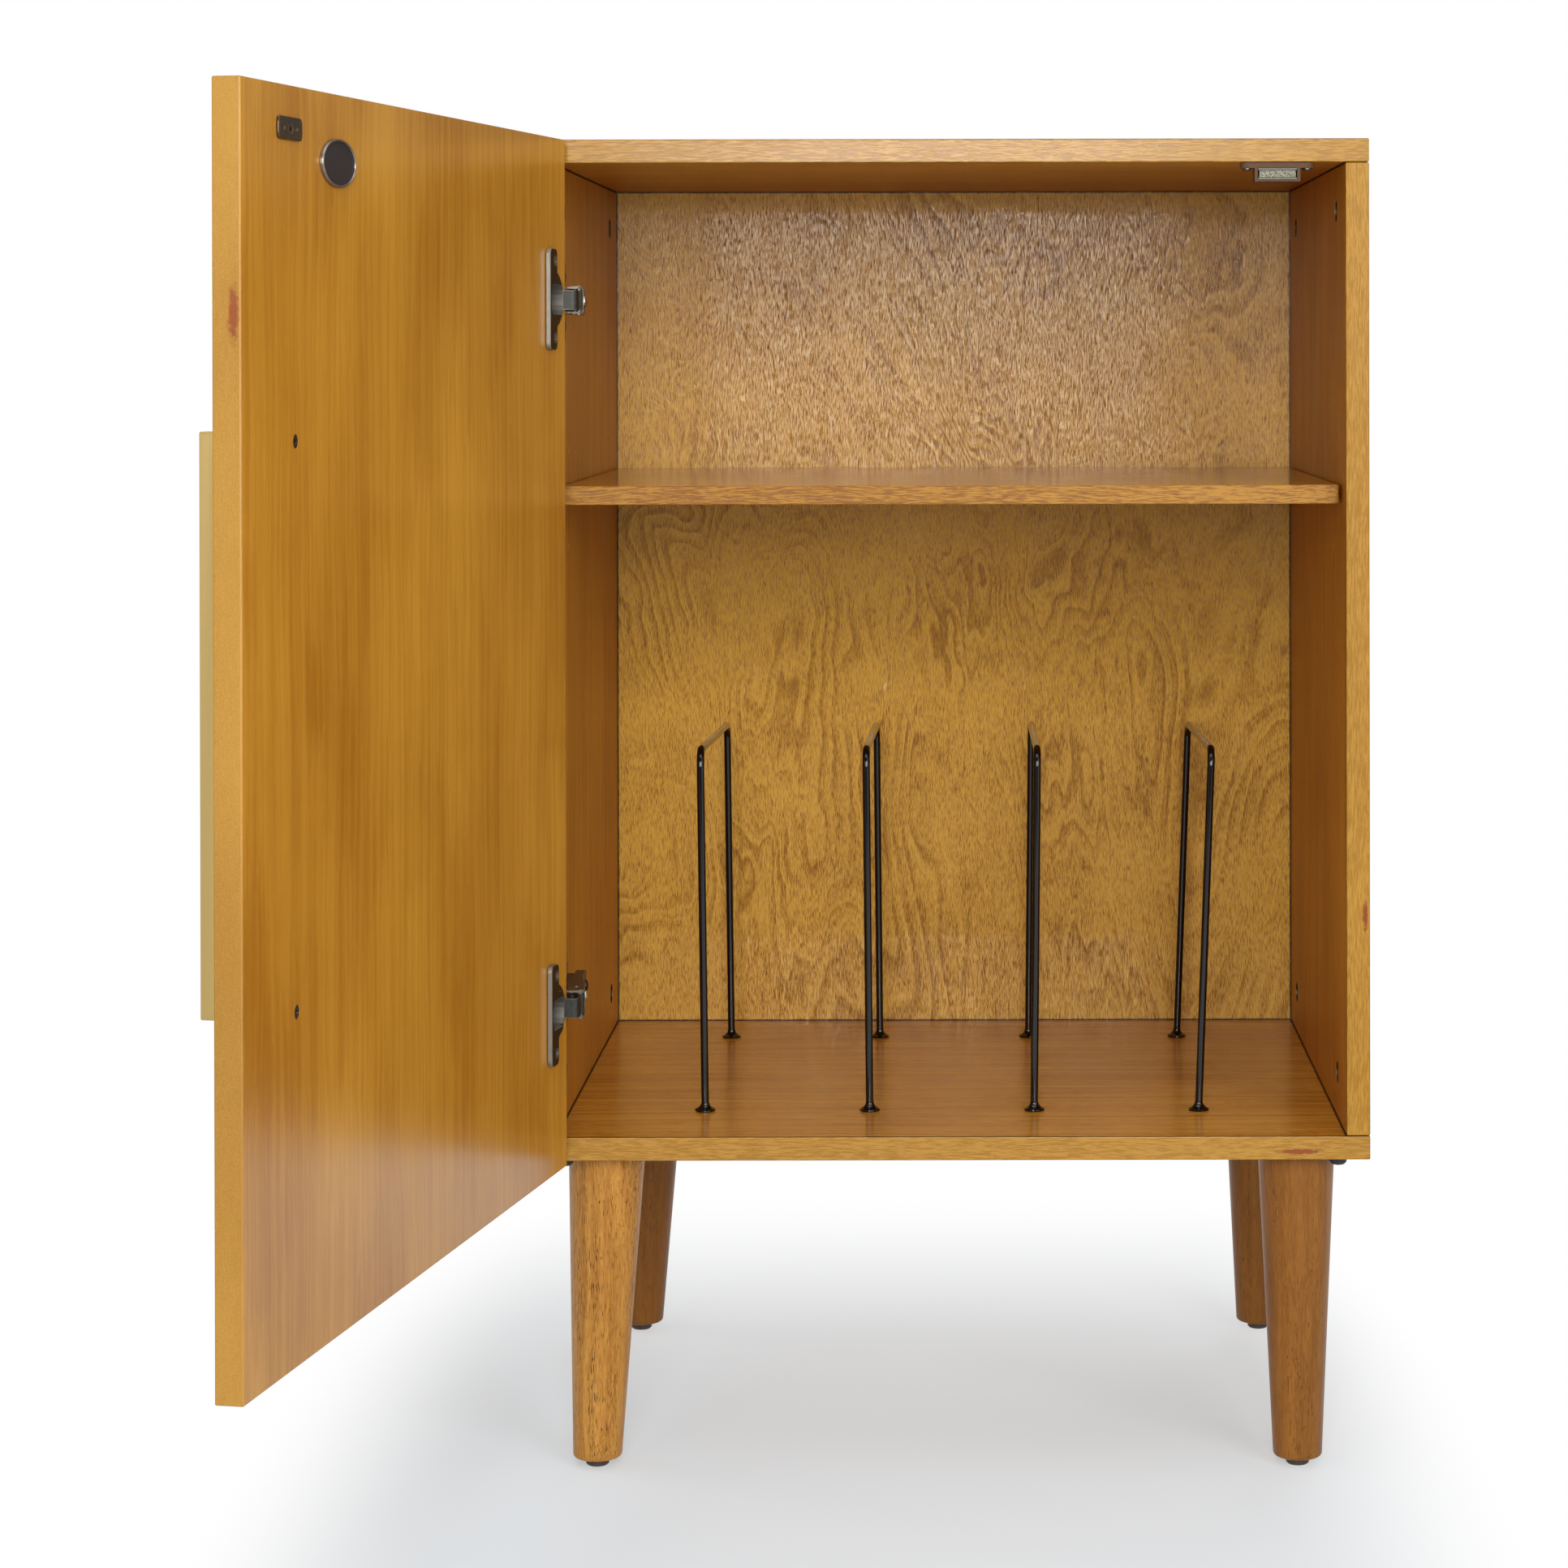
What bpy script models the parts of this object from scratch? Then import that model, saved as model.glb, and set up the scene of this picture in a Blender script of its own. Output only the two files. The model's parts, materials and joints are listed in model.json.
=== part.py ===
# Record player stand: a box on four turned legs, with one hinged door, a shelf on pins and
# four bent wires that keep records upright. Metres, +Z up, the floor at z = 0.
# The cabinet's own frame has x = 0 in the middle of its width and y = 0 at its front edges,
# with +y to the back. The door is modelled shut and turned open on its hinge axis.

import math

import bmesh
import bpy
from mathutils import Matrix, Vector

# Clearances
SEAT = 0.0003
HOLE_FIT = 0.0003
PIVOT_FIT = 0.00015

# Screw heads; the dome's values are shares of its height and of its radius
SCREW_RIM = 0.0001
DOME_RIM = 0.4
DOME_SHOULDER = 0.85
DOME_SHOULDER_REACH = 0.75

# Cabinet box
CABINET_WIDTH = 0.532
CABINET_DEPTH = 0.410
CABINET_HEIGHT = 0.648
BOARD = 0.015
EDGE_ROUND = 0.0008
BACK_BOARD = 0.004
BACK_REBATE = 0.006
GROOVE_DEPTH = 0.005
CAM_DIAMETER = 0.015
CAM_BORE_DEPTH = 0.0125
CAM_FROM_JOINT = 0.029
CAM_FROM_FRONT = 0.060
CAM_FROM_REAR = 0.058

# Shelf and its pins
SHELF_FROM_CEILING = 0.2055
SHELF_BOARD = 0.012
SHELF_SETBACK = 0.020
SHELF_END_GAP = 0.002
SHELF_BACK_GAP = 0.002
SHELF_CORNER = 0.003
PIN_DIAMETER = 0.005
PIN_LENGTH = 0.018
PIN_ROUND = 0.0004
PIN_IN_SIDE = 0.009
PIN_ABOVE_UNDERSIDE = 0.0015
PIN_PITCH = 0.032
PIN_FROM_FRONT = 0.0815
PIN_FROM_REAR = 0.072

# Wire dividers
WIRE_DIAMETER = 0.005
WIRE_FRONT_HEIGHT = 0.2395
WIRE_REAR_HEIGHT = 0.230
WIRE_BEND = 0.011
WIRE_FROM_FRONT = 0.080
WIRE_FROM_REAR = 0.075
WIRE_PITCH = 0.108
WIRE_LEANS = (-0.7, -0.5, 0.6, 2.2)
COLLAR_DIAMETER = 0.0136
COLLAR_HEIGHT = 0.006
COLLAR_LIP = 0.0009
PEG_DIAMETER = 0.0046
PEG_LENGTH = 0.009
PEG_CHAMFER = 0.0007

# Legs and feet
LEG_LENGTH = 0.2009
LEG_TOP_DIAMETER = 0.0495
LEG_FOOT_DIAMETER = 0.0316
LEG_FOOT_ROUND = 0.0025
LEG_TOP_CHAMFER = 0.0005
LEG_FROM_SIDE = 0.0435
LEG_FROM_FRONT = 0.0424
LEG_FROM_REAR = 0.0425
LEG_LEANS = {"front_left": 1.9, "rear_left": 2.4, "front_right": 0.2, "rear_right": 0.2}
LEG_BOLT_DIAMETER = 0.008
LEG_BOLT_IN_LEG = 0.026
LEG_BOLT_IN_BOARD = 0.010
GLIDE_DIAMETER = 0.016
GLIDE_THICKNESS = 0.0037
GLIDE_ROUND = 0.003
GLIDE_NAIL_DIAMETER = 0.003
GLIDE_NAIL_LENGTH = 0.012
BUMPER_DIAMETER = 0.0118
BUMPER_HEIGHT = 0.0052
BUMPER_ROUND = 0.0038
BUMPER_FROM_SIDE = 0.0194
BUMPER_FROM_FRONT = 0.012

# Door and its axis
DOOR_SIDE_INSET = 0.0015
DOOR_TOP_INSET = 0.001
DOOR_BOTTOM_INSET = 0.0005
DOOR_BOARD = 0.015
DOOR_GAP = 0.002
DOOR_OPEN_ANGLE = 100.68
AXIS_FROM_DOOR_EDGE = 0.0059
AXIS_BEYOND_FACE = 0.00087

# Handle
HANDLE_FROM_FREE_EDGE = 0.0715
HANDLE_SCREW_SPACING = 0.288
HANDLE_BAR = 0.010
HANDLE_PROJECTION = 0.035
HANDLE_BEND = 0.004
HANDLE_EDGE_ROUND = 0.001
HANDLE_SCREW_DIAMETER = 0.004
HANDLE_SCREW_HEAD = 0.0073
HANDLE_SCREW_IN_HANDLE = 0.008

# Strike plate and badge on the door's inner face
STRIKE_WIDTH = 0.0377
STRIKE_HEIGHT = 0.0147
STRIKE_THICKNESS = 0.0012
STRIKE_CORNER = 0.0035
STRIKE_FROM_FREE_EDGE = 0.0565
STRIKE_FROM_TOP = 0.022
STRIKE_SCREW_DIAMETER = 0.003
STRIKE_SCREW_HEAD = 0.006
STRIKE_SCREW_LENGTH = 0.010
BADGE_WIDTH = 0.057
BADGE_HEIGHT = 0.0254
BADGE_THICKNESS = 0.002
BADGE_RIM = 0.0016
BADGE_FACE_DROP = 0.0006
BADGE_FROM_FREE_EDGE = 0.126
BADGE_FROM_TOP = 0.036

# Magnetic catch under the top board
CATCH_WIDTH = 0.029
CATCH_HEIGHT = 0.012
CATCH_DEPTH = 0.015
CATCH_FROM_FRONT = 0.0006
CATCH_WALL = 0.001
CATCH_EAR_SPACING = 0.038
CATCH_EAR_WIDTH = 0.009
CATCH_EAR_CORNER = 0.0044
CATCH_EAR_THICKNESS = 0.0034
CATCH_POLE = 0.001
CATCH_POLE_PROUD = 0.0007
CATCH_MAGNET = 0.0044
CATCH_MAGNET_WIDTH = 0.023
CATCH_SCREW_DIAMETER = 0.003
CATCH_SCREW_HEAD = 0.0058
CATCH_SCREW_HEAD_HEIGHT = 0.0016
CATCH_SCREW_LENGTH = 0.012

# Hinge cup and its flange, on the door
HINGE_FROM_DOOR_END = 0.101
CUP_FROM_EDGE = 0.023
CUP_DIAMETER = 0.0344
CUP_DEPTH = 0.0116
CUP_BORE_DEPTH = 0.012
CUP_RIM_PROUD = 0.0006
CUP_FLOOR = 0.001
CUP_CHAMFER = 0.001
POCKET_DIAMETER = 0.033
POCKET_HEIGHT = 0.0188
FLANGE_THICKNESS = 0.003
FLANGE_HEIGHT = 0.063
FLANGE_WIDTH = 0.0148
FLANGE_NEAR_EDGE = 0.0267
FLANGE_CORNER = 0.004
FLANGE_BULGE_RADIUS = 0.014
FLANGE_SCREW_SPACING = 0.048
FLANGE_SCREW_FROM_EDGE = 0.0308
FLANGE_SCREW_DIAMETER = 0.0035
FLANGE_SCREW_HEAD = 0.0062
FLANGE_SCREW_LENGTH = 0.0135

# Hinge arm, links and mounting plate, on the left side board
ARM_HEIGHT = 0.0174
ARM_GAUGE = 0.0013
HINGE_EDGE_ROUND = 0.0004
WEB_GAUGE = 0.0016
ARM_REAR = 0.066
ARM_NOSE = 0.0112
ARM_OPEN_NOSE = 0.002
ARM_STEP = 0.048
ARM_NOSE_STAND = 0.0192
ARM_REAR_STAND = 0.0127
ARM_FOOT_STAND = 0.006
ARM_NOSE_CORNER = 0.0022
ARM_NOSE_LIFT = 0.002
ARM_NOSE_FALL = 0.0007
ARM_FOOT_FRONT = 0.010
OUTER_PIVOT = (0.017, -0.009)
INNER_PIVOT = (0.013, 0.004)
PIVOT_DIAMETER = 0.0023
PIVOT_HEAD_DIAMETER = 0.0034
PIVOT_HEAD = 0.0004
KNUCKLE_DIAMETER = 0.0044
LINK_GAUGE = 0.0016
LINK_HEIGHT = 0.012
OUTER_LINK_REACH = 0.0148
OUTER_LINK_FOOT = 0.0085
OUTER_LINK_BEND = 0.003
INNER_LINK_REACH = 0.014
INNER_LINK_TURN = -5.0
PLATE_THICKNESS = 0.0022
PLATE_FROM_FRONT = 0.037
PLATE_WING_WIDTH = 0.014
PLATE_WING_SPAN = 0.052
PLATE_CORNER = 0.003
RIB_FRONT = 0.026
RIB_FROM_ARM_END = 0.001
PLATE_SCREW_SPACING = 0.032
PLATE_SCREW_DIAMETER = 0.0035
PLATE_SCREW_HEAD = 0.0064
PLATE_SCREW_HEAD_HEIGHT = 0.0016
PLATE_SCREW_LENGTH = 0.010
FIXING_SCREW_FROM_FRONT = 0.058
FIXING_SCREW_DIAMETER = 0.004
FIXING_SCREW_HEAD = 0.0068
FIXING_SCREW_HEAD_HEIGHT = 0.0018
FIXING_SCREW_LENGTH = 0.0095
ADJUSTING_SCREW_FROM_FRONT = 0.021
ADJUSTING_SCREW_LENGTH = 0.007

# Facets
FINE_SIDES = 28
ROUND_SIDES = 18
SMALL_SIDES = 10
FEW_STEPS = 3
ARC_STEPS = 5
ROUND_STEPS = 6
BULGE_STEPS = 16
PIN_SIDES = 14
WIRE_STEPS = 2
MERGE = 0.000001
TURNS = 2 * math.pi
CUT_OVER = 0.002
SMOOTH_BELOW = 35
ROUND_ABOVE = 50

# Places that follow from the sizes
HALF_WIDTH = CABINET_WIDTH / 2
INNER_HALF = HALF_WIDTH - BOARD
UNDERSIDE = GLIDE_THICKNESS + SEAT + LEG_LENGTH + SEAT
FLOOR = UNDERSIDE + BOARD
TOP = UNDERSIDE + CABINET_HEIGHT
CEILING = TOP - BOARD
BACK_FACE = CABINET_DEPTH - BACK_REBATE - BACK_BOARD
SHELF_UNDERSIDE = CEILING - SHELF_FROM_CEILING - SHELF_BOARD
PIN_LEVEL = SHELF_UNDERSIDE + PIN_ABOVE_UNDERSIDE
PIN_PLACES = {"front": PIN_FROM_FRONT, "rear": CABINET_DEPTH - PIN_FROM_REAR}
LEG_PLACES = {"front": LEG_FROM_FRONT, "rear": CABINET_DEPTH - LEG_FROM_REAR}
SIDES = {"left": -1, "right": 1}
LEG_FROM_MIDDLE = HALF_WIDTH - LEG_FROM_SIDE
BUMPER_FROM_MIDDLE = HALF_WIDTH - BUMPER_FROM_SIDE
DOOR_WIDTH = CABINET_WIDTH - 2 * DOOR_SIDE_INSET
DOOR_HEIGHT = CABINET_HEIGHT - DOOR_TOP_INSET - DOOR_BOTTOM_INSET
DOOR_CORNER = Vector((-DOOR_WIDTH / 2, -DOOR_GAP, UNDERSIDE + DOOR_BOTTOM_INSET))
DOOR_AXIS = Vector((
    DOOR_CORNER.x + AXIS_FROM_DOOR_EDGE,
    DOOR_CORNER.y - DOOR_BOARD - AXIS_BEYOND_FACE,
    0,
))
HINGE_LEVELS = {"upper": DOOR_HEIGHT - HINGE_FROM_DOOR_END, "lower": HINGE_FROM_DOOR_END}
HANDLE_FROM_EDGE = DOOR_WIDTH - HANDLE_FROM_FREE_EDGE
HANDLE_CENTRE = DOOR_HEIGHT / 2
HANDLE_SCREW_LEVELS = {
    "upper": HANDLE_CENTRE + HANDLE_SCREW_SPACING / 2,
    "lower": HANDLE_CENTRE - HANDLE_SCREW_SPACING / 2,
}
STRIKE_FROM_EDGE = DOOR_WIDTH - STRIKE_FROM_FREE_EDGE
STRIKE_UP = DOOR_HEIGHT - STRIKE_FROM_TOP
BADGE_FROM_EDGE = DOOR_WIDTH - BADGE_FROM_FREE_EDGE
BADGE_UP = DOOR_HEIGHT - BADGE_FROM_TOP
CATCH_MIDDLE = STRIKE_FROM_EDGE - DOOR_WIDTH / 2
CATCH_CAVITY_FLOOR = CEILING - CATCH_HEIGHT - SEAT + CATCH_WALL
CATCH_CAVITY = 2 * CATCH_POLE + CATCH_MAGNET + 4 * SEAT

# Turns that lay a shape made along +Z along another direction
ALONG_X = Matrix.Rotation(math.radians(90), 4, "Y")
ALONG_Y = Matrix.Rotation(math.radians(-90), 4, "X")
TOWARD_FRONT = Matrix.Rotation(math.radians(90), 4, "X")


def clear_scene():
    """Start from an empty scene."""
    for item in list(bpy.data.objects):
        bpy.data.objects.remove(item, do_unlink=True)


def linear(channel):
    """One colour channel from the display scale 0 to 255 to linear light."""
    value = channel / 255
    return value / 12.92 if value <= 0.04045 else ((value + 0.055) / 1.055) ** 2.4


def surface(name, colour, roughness, metallic=0.0):
    """A Principled material of one colour, given on the display scale."""
    material = bpy.data.materials.new(name)
    material.use_nodes = True
    shader = material.node_tree.nodes["Principled BSDF"]
    shader.inputs["Base Color"].default_value = [linear(c) for c in colour] + [1]
    shader.inputs["Roughness"].default_value = roughness
    shader.inputs["Metallic"].default_value = metallic
    return material


# Points and outlines

def arc(centre, radius, start, end, steps=ARC_STEPS):
    """Points on an arc from one angle to another, in degrees."""
    points = []
    for step in range(steps + 1):
        angle = math.radians(start + (end - start) * step / steps)
        points.append((centre[0] + radius * math.cos(angle), centre[1] + radius * math.sin(angle)))
    return points


def rounded_rectangle(width, height, radius, steps=ARC_STEPS):
    """Outline of a rectangle about the origin with round corners."""
    x = width / 2 - radius
    y = height / 2 - radius
    outline = []
    for quarter, corner in enumerate(((x, y), (-x, y), (-x, -y), (x, -y))):
        outline += arc(corner, radius, 90 * quarter, 90 * quarter + 90, steps)
    return outline


def filleted(corners, radius, steps=ARC_STEPS):
    """A path through the corners, with an arc of this radius in place of each inner one."""
    path = [Vector(corners[0])]
    for before, corner, after in zip(corners, corners[1:], corners[2:]):
        corner = Vector(corner)
        back = (Vector(before) - corner).normalized()
        ahead = (Vector(after) - corner).normalized()
        half = back.angle(ahead) / 2
        centre = corner + (back + ahead).normalized() * radius / math.sin(half)
        first = (corner + back * radius / math.tan(half) - centre).normalized()
        last = (corner + ahead * radius / math.tan(half) - centre).normalized()
        path += [centre + first.slerp(last, step / steps) * radius for step in range(steps + 1)]
    path.append(Vector(corners[-1]))
    return path


def strap_outline(path, gauge, knuckle_radius):
    """Outline of a strip of this gauge along the path, with a round knuckle at its start."""
    half = gauge / 2
    left = []
    right = []
    for index in range(1, len(path)):
        before = path[index - 1]
        after = path[min(index + 1, len(path) - 1)]
        along = (after - before).normalized()
        across = Vector((-along.y, along.x)) * half
        left.append(path[index] + across)
        right.append(path[index] - across)
    away = path[1] - path[0]
    heading = math.degrees(math.atan2(away.y, away.x))
    opening = math.degrees(math.asin(half / knuckle_radius))
    knuckle = arc(path[0], knuckle_radius, heading + opening, heading + 360 - opening, SMALL_SIDES)
    return knuckle + right + left[::-1]


# Solids, each one a bmesh

def box(low, high):
    """A box between two corners."""
    shape = bmesh.new()
    bmesh.ops.create_cube(shape, size=1)
    size = Vector(high) - Vector(low)
    middle = (Vector(high) + Vector(low)) / 2
    bmesh.ops.scale(shape, verts=shape.verts, vec=size)
    bmesh.ops.translate(shape, verts=shape.verts, vec=middle)
    return shape


def prism(outline, height):
    """The outline, drawn in x and y, raised from z = 0 to this height."""
    shape = bmesh.new()
    face = shape.faces.new([shape.verts.new((point[0], point[1], 0)) for point in outline])
    raised = bmesh.ops.extrude_face_region(shape, geom=[face])
    top = [item for item in raised["geom"] if isinstance(item, bmesh.types.BMVert)]
    bmesh.ops.translate(shape, verts=top, vec=(0, 0, height))
    bmesh.ops.recalc_face_normals(shape, faces=shape.faces)
    return shape


def turned(profile, sides=ROUND_SIDES):
    """A solid turned about Z from (radius, height) points that start and end on the axis."""
    shape = bmesh.new()
    points = [shape.verts.new((radius, 0, height)) for radius, height in profile]
    edges = [shape.edges.new(pair) for pair in zip(points, points[1:])]
    bmesh.ops.spin(
        shape, geom=points + edges, cent=(0, 0, 0), axis=(0, 0, 1), angle=TURNS, steps=sides,
        use_merge=True,
    )
    bmesh.ops.remove_doubles(shape, verts=shape.verts, dist=MERGE)
    bmesh.ops.recalc_face_normals(shape, faces=shape.faces)
    return shape


def rod(diameter, low, high, sides=SMALL_SIDES):
    """A round bar about Z between two heights."""
    radius = diameter / 2
    return turned([(0, low), (radius, low), (radius, high), (0, high)], sides)


def countersunk_hole(diameter, head, low, top, sides=SMALL_SIDES):
    """Cutter for a hole about Z with a cone for a flush screw head at its top."""
    radius = diameter / 2 + HOLE_FIT
    wide = head / 2 + HOLE_FIT
    profile = [(0, low), (radius, low), (radius, top - (wide - radius)), (wide, top)]
    profile += [(wide, top + CUT_OVER), (0, top + CUT_OVER)]
    return turned(profile, sides)


def flush_screw(diameter, head, length, sides=SMALL_SIDES):
    """A countersunk screw whose head ends at z = 0 and whose shank points down."""
    radius = diameter / 2
    wide = head / 2
    profile = [(0, -length), (radius / 3, -length), (radius, -length + 2 * radius)]
    profile += [(radius, radius - wide), (wide, -SCREW_RIM), (wide, 0), (0, 0)]
    return turned(profile, sides)


def dome_screw(diameter, head, head_height, length, sides=SMALL_SIDES):
    """A screw with a low round head above z = 0 and its shank below."""
    radius = diameter / 2
    wide = head / 2
    profile = [(0, -length), (radius / 3, -length), (radius, -length + 2 * radius), (radius, 0)]
    profile += [(wide, 0), (wide, head_height * DOME_RIM)]
    profile += [(wide * DOME_SHOULDER_REACH, head_height * DOME_SHOULDER), (0, head_height)]
    return turned(profile, sides)


def moved(shape, place=(0, 0, 0), turn=None):
    """The same shape, turned and then shifted."""
    if turn is not None:
        bmesh.ops.transform(shape, matrix=turn, verts=shape.verts)
    bmesh.ops.translate(shape, verts=shape.verts, vec=place)
    return shape


def together(shapes):
    """Several solids in one bmesh, for cutting them all at once."""
    result = bmesh.new()
    for shape in shapes:
        mesh = bpy.data.meshes.new("part_of_a_set")
        shape.to_mesh(mesh)
        shape.free()
        result.from_mesh(mesh)
        bpy.data.meshes.remove(mesh)
    return result


# Objects

def empty(name, parent=None, location=(0, 0, 0), turn=0.0):
    """A frame to hang pieces on, turned about Z by degrees."""
    item = bpy.data.objects.new(name, None)
    bpy.context.collection.objects.link(item)
    item.parent = parent
    item.location = location
    item.rotation_euler.z = math.radians(turn)
    return item


def piece(name, shape, material, parent, location=(0, 0, 0), rotation=(0, 0, 0)):
    """One physical piece as an object of its own."""
    mesh = bpy.data.meshes.new(name)
    shape.to_mesh(mesh)
    shape.free()
    mesh.materials.append(material)
    mesh.shade_smooth()
    mesh.set_sharp_from_angle(angle=math.radians(SMOOTH_BELOW))
    item = bpy.data.objects.new(name, mesh)
    bpy.context.collection.objects.link(item)
    item.parent = parent
    item.location = location
    item.rotation_euler = rotation
    return item


def edge_round(item, width, segments=2):
    """Round every sharp edge of a piece."""
    bevel = item.modifiers.new("rounded_edges", "BEVEL")
    bevel.width = width
    bevel.segments = segments
    bevel.limit_method = "ANGLE"
    bevel.angle_limit = math.radians(ROUND_ABOVE)


def combine(item, shape, operation):
    """Cut the shape out of the piece, or add it, both given in the piece's parent's frame."""
    mesh = bpy.data.meshes.new(item.name + "_" + operation.lower())
    shape.to_mesh(mesh)
    shape.free()
    tool = bpy.data.objects.new(mesh.name, mesh)
    bpy.context.collection.objects.link(tool)
    tool.parent = item.parent
    tool.hide_render = True
    tool.display_type = "WIRE"
    step = item.modifiers.new(operation.lower(), "BOOLEAN")
    step.operation = operation
    step.solver = "EXACT"
    step.object = tool


def cut(item, shape):
    """Cut the shape out of the piece."""
    combine(item, shape, "DIFFERENCE")


def weld_on(item, shape):
    """Add the shape to the piece as one solid."""
    combine(item, shape, "UNION")


# Cabinet box

def board(name, low, high, material, parent):
    """A flat board with its arrises taken off, its origin at its low corner."""
    size = Vector(high) - Vector(low)
    item = piece(name, box((0, 0, 0), size), material, parent, low)
    edge_round(item, EDGE_ROUND)
    return item


def back_groove():
    """Cutter for the grooves that hold the back board in all four boards round it."""
    reach = GROOVE_DEPTH
    return box(
        (-INNER_HALF - reach, BACK_FACE - SEAT, FLOOR - reach),
        (INNER_HALF + reach, BACK_FACE + BACK_BOARD + SEAT, CEILING + reach),
    )


def cam_bores(side):
    """Cutters for the flat round bores that the corner joints are tightened through."""
    outward = ALONG_X if side > 0 else ALONG_X.inverted()
    inner_face = side * INNER_HALF
    bores = []
    for y in (CAM_FROM_FRONT, CABINET_DEPTH - CAM_FROM_REAR):
        for z in (FLOOR + CAM_FROM_JOINT, CEILING - CAM_FROM_JOINT):
            bore = rod(CAM_DIAMETER, -CUT_OVER, CAM_BORE_DEPTH, ROUND_SIDES)
            bores.append(moved(bore, (inner_face, y, z), outward))
    return bores


def pin_holes(side):
    """Cutters for three levels of shelf pin holes, front and rear."""
    outward = ALONG_X if side > 0 else ALONG_X.inverted()
    holes = []
    for y in PIN_PLACES.values():
        for level in (-1, 0, 1):
            hole = rod(PIN_DIAMETER + 2 * HOLE_FIT, -CUT_OVER, PIN_IN_SIDE + SEAT)
            place = (side * INNER_HALF, y, PIN_LEVEL + level * PIN_PITCH)
            holes.append(moved(hole, place, outward))
    return holes


def plate_screw_holes():
    """Cutters in the left side board for the screws of both hinge mounting plates."""
    holes = []
    for level in HINGE_LEVELS.values():
        for step in (-0.5, 0.5):
            depth = PLATE_SCREW_LENGTH + SEAT
            hole = rod(PLATE_SCREW_DIAMETER + 2 * HOLE_FIT, -CUT_OVER, depth)
            height = DOOR_CORNER.z + level + step * PLATE_SCREW_SPACING
            holes.append(moved(hole, (-INNER_HALF, PLATE_FROM_FRONT, height), ALONG_X.inverted()))
    return holes


def build_sides(parent, veneer):
    """The two side boards, between the top and bottom boards."""
    for name, side in SIDES.items():
        low_x = min(side * INNER_HALF, side * HALF_WIDTH)
        item = board(
            name + "_side_panel",
            (low_x, 0, FLOOR + SEAT),
            (low_x + BOARD, CABINET_DEPTH, CEILING - SEAT),
            veneer, parent,
        )
        cut(item, back_groove())
        holes = cam_bores(side) + pin_holes(side)
        if side < 0:
            holes += plate_screw_holes()
        cut(item, together(holes))


def build_top(parent, veneer):
    """The top board, with holes for the catch's screws."""
    item = board(
        "top_panel", (-HALF_WIDTH, 0, CEILING), (HALF_WIDTH, CABINET_DEPTH, TOP), veneer, parent
    )
    cut(item, back_groove())
    depth = CATCH_SCREW_LENGTH - CATCH_EAR_THICKNESS
    holes = []
    for ear in (-0.5, 0.5):
        hole = rod(CATCH_SCREW_DIAMETER + 2 * HOLE_FIT, -CUT_OVER, depth)
        holes.append(moved(hole, (CATCH_MIDDLE + ear * CATCH_EAR_SPACING, catch_ear_depth(), CEILING)))
    cut(item, together(holes))


def build_bottom(parent, veneer):
    """The bottom board, with holes for the wires' pegs and the legs' bolts."""
    item = board(
        "bottom_panel", (-HALF_WIDTH, 0, UNDERSIDE), (HALF_WIDTH, CABINET_DEPTH, FLOOR), veneer, parent
    )
    cut(item, back_groove())
    holes = []
    for x in divider_places():
        for y in (WIRE_FROM_FRONT, CABINET_DEPTH - WIRE_FROM_REAR):
            hole = rod(PEG_DIAMETER + 2 * HOLE_FIT, -PEG_LENGTH - SEAT, CUT_OVER)
            holes.append(moved(hole, (x, y, FLOOR)))
    for side in SIDES.values():
        for y in LEG_PLACES.values():
            hole = rod(LEG_BOLT_DIAMETER + 2 * HOLE_FIT, -CUT_OVER, LEG_BOLT_IN_BOARD + SEAT)
            holes.append(moved(hole, (side * LEG_FROM_MIDDLE, y, UNDERSIDE)))
    cut(item, together(holes))


def build_back(parent, veneer):
    """The thin back board in its grooves."""
    reach = GROOVE_DEPTH - SEAT
    piece(
        "back_panel",
        box((-INNER_HALF - reach, 0, FLOOR - reach), (INNER_HALF + reach, BACK_BOARD, CEILING + reach)),
        veneer, parent, (0, BACK_FACE, 0),
    )


# Shelf

def build_shelf(parent, veneer):
    """The shelf, with a notch over each pin."""
    width = 2 * (INNER_HALF - SHELF_END_GAP)
    depth = BACK_FACE - SHELF_BACK_GAP - SHELF_SETBACK
    middle = SHELF_SETBACK + depth / 2
    outline = rounded_rectangle(width, depth, SHELF_CORNER, FEW_STEPS)
    item = piece("shelf", prism(outline, SHELF_BOARD), veneer, parent, (0, middle, SHELF_UNDERSIDE))
    edge_round(item, EDGE_ROUND)
    radius = PIN_DIAMETER / 2 + HOLE_FIT
    reach = PIN_LENGTH - PIN_IN_SIDE + SEAT
    drop = PIN_ABOVE_UNDERSIDE + CUT_OVER
    notch = arc((0, 0), radius, 0, 180, ROUND_STEPS) + [(-radius, -drop), (radius, -drop)]
    upright = Matrix.Rotation(math.radians(90), 4, "Z") @ TOWARD_FRONT
    notches = []
    for side in SIDES.values():
        start = INNER_HALF - reach if side > 0 else -INNER_HALF - CUT_OVER
        for y in PIN_PLACES.values():
            solid = prism(notch, reach + CUT_OVER)
            notches.append(moved(solid, (start, y, PIN_LEVEL), upright))
    cut(item, together(notches))


def build_shelf_pins(parent, metal):
    """Four plain pins that the shelf rests on."""
    for side_name, side in SIDES.items():
        for end, y in PIN_PLACES.items():
            pin = rod(PIN_DIAMETER, -PIN_IN_SIDE, PIN_LENGTH - PIN_IN_SIDE, PIN_SIDES)
            turn = (0, math.radians(-90 * side), 0)
            place = (side * INNER_HALF, y, PIN_LEVEL)
            item = piece("shelf_pin_" + end + "_" + side_name, pin, metal, parent, place, turn)
            edge_round(item, PIN_ROUND, 1)


# Wire dividers

def divider_places():
    """Where the four wires stand across the cabinet."""
    count = len(WIRE_LEANS)
    return [(index - (count - 1) / 2) * WIRE_PITCH for index in range(count)]


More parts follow.
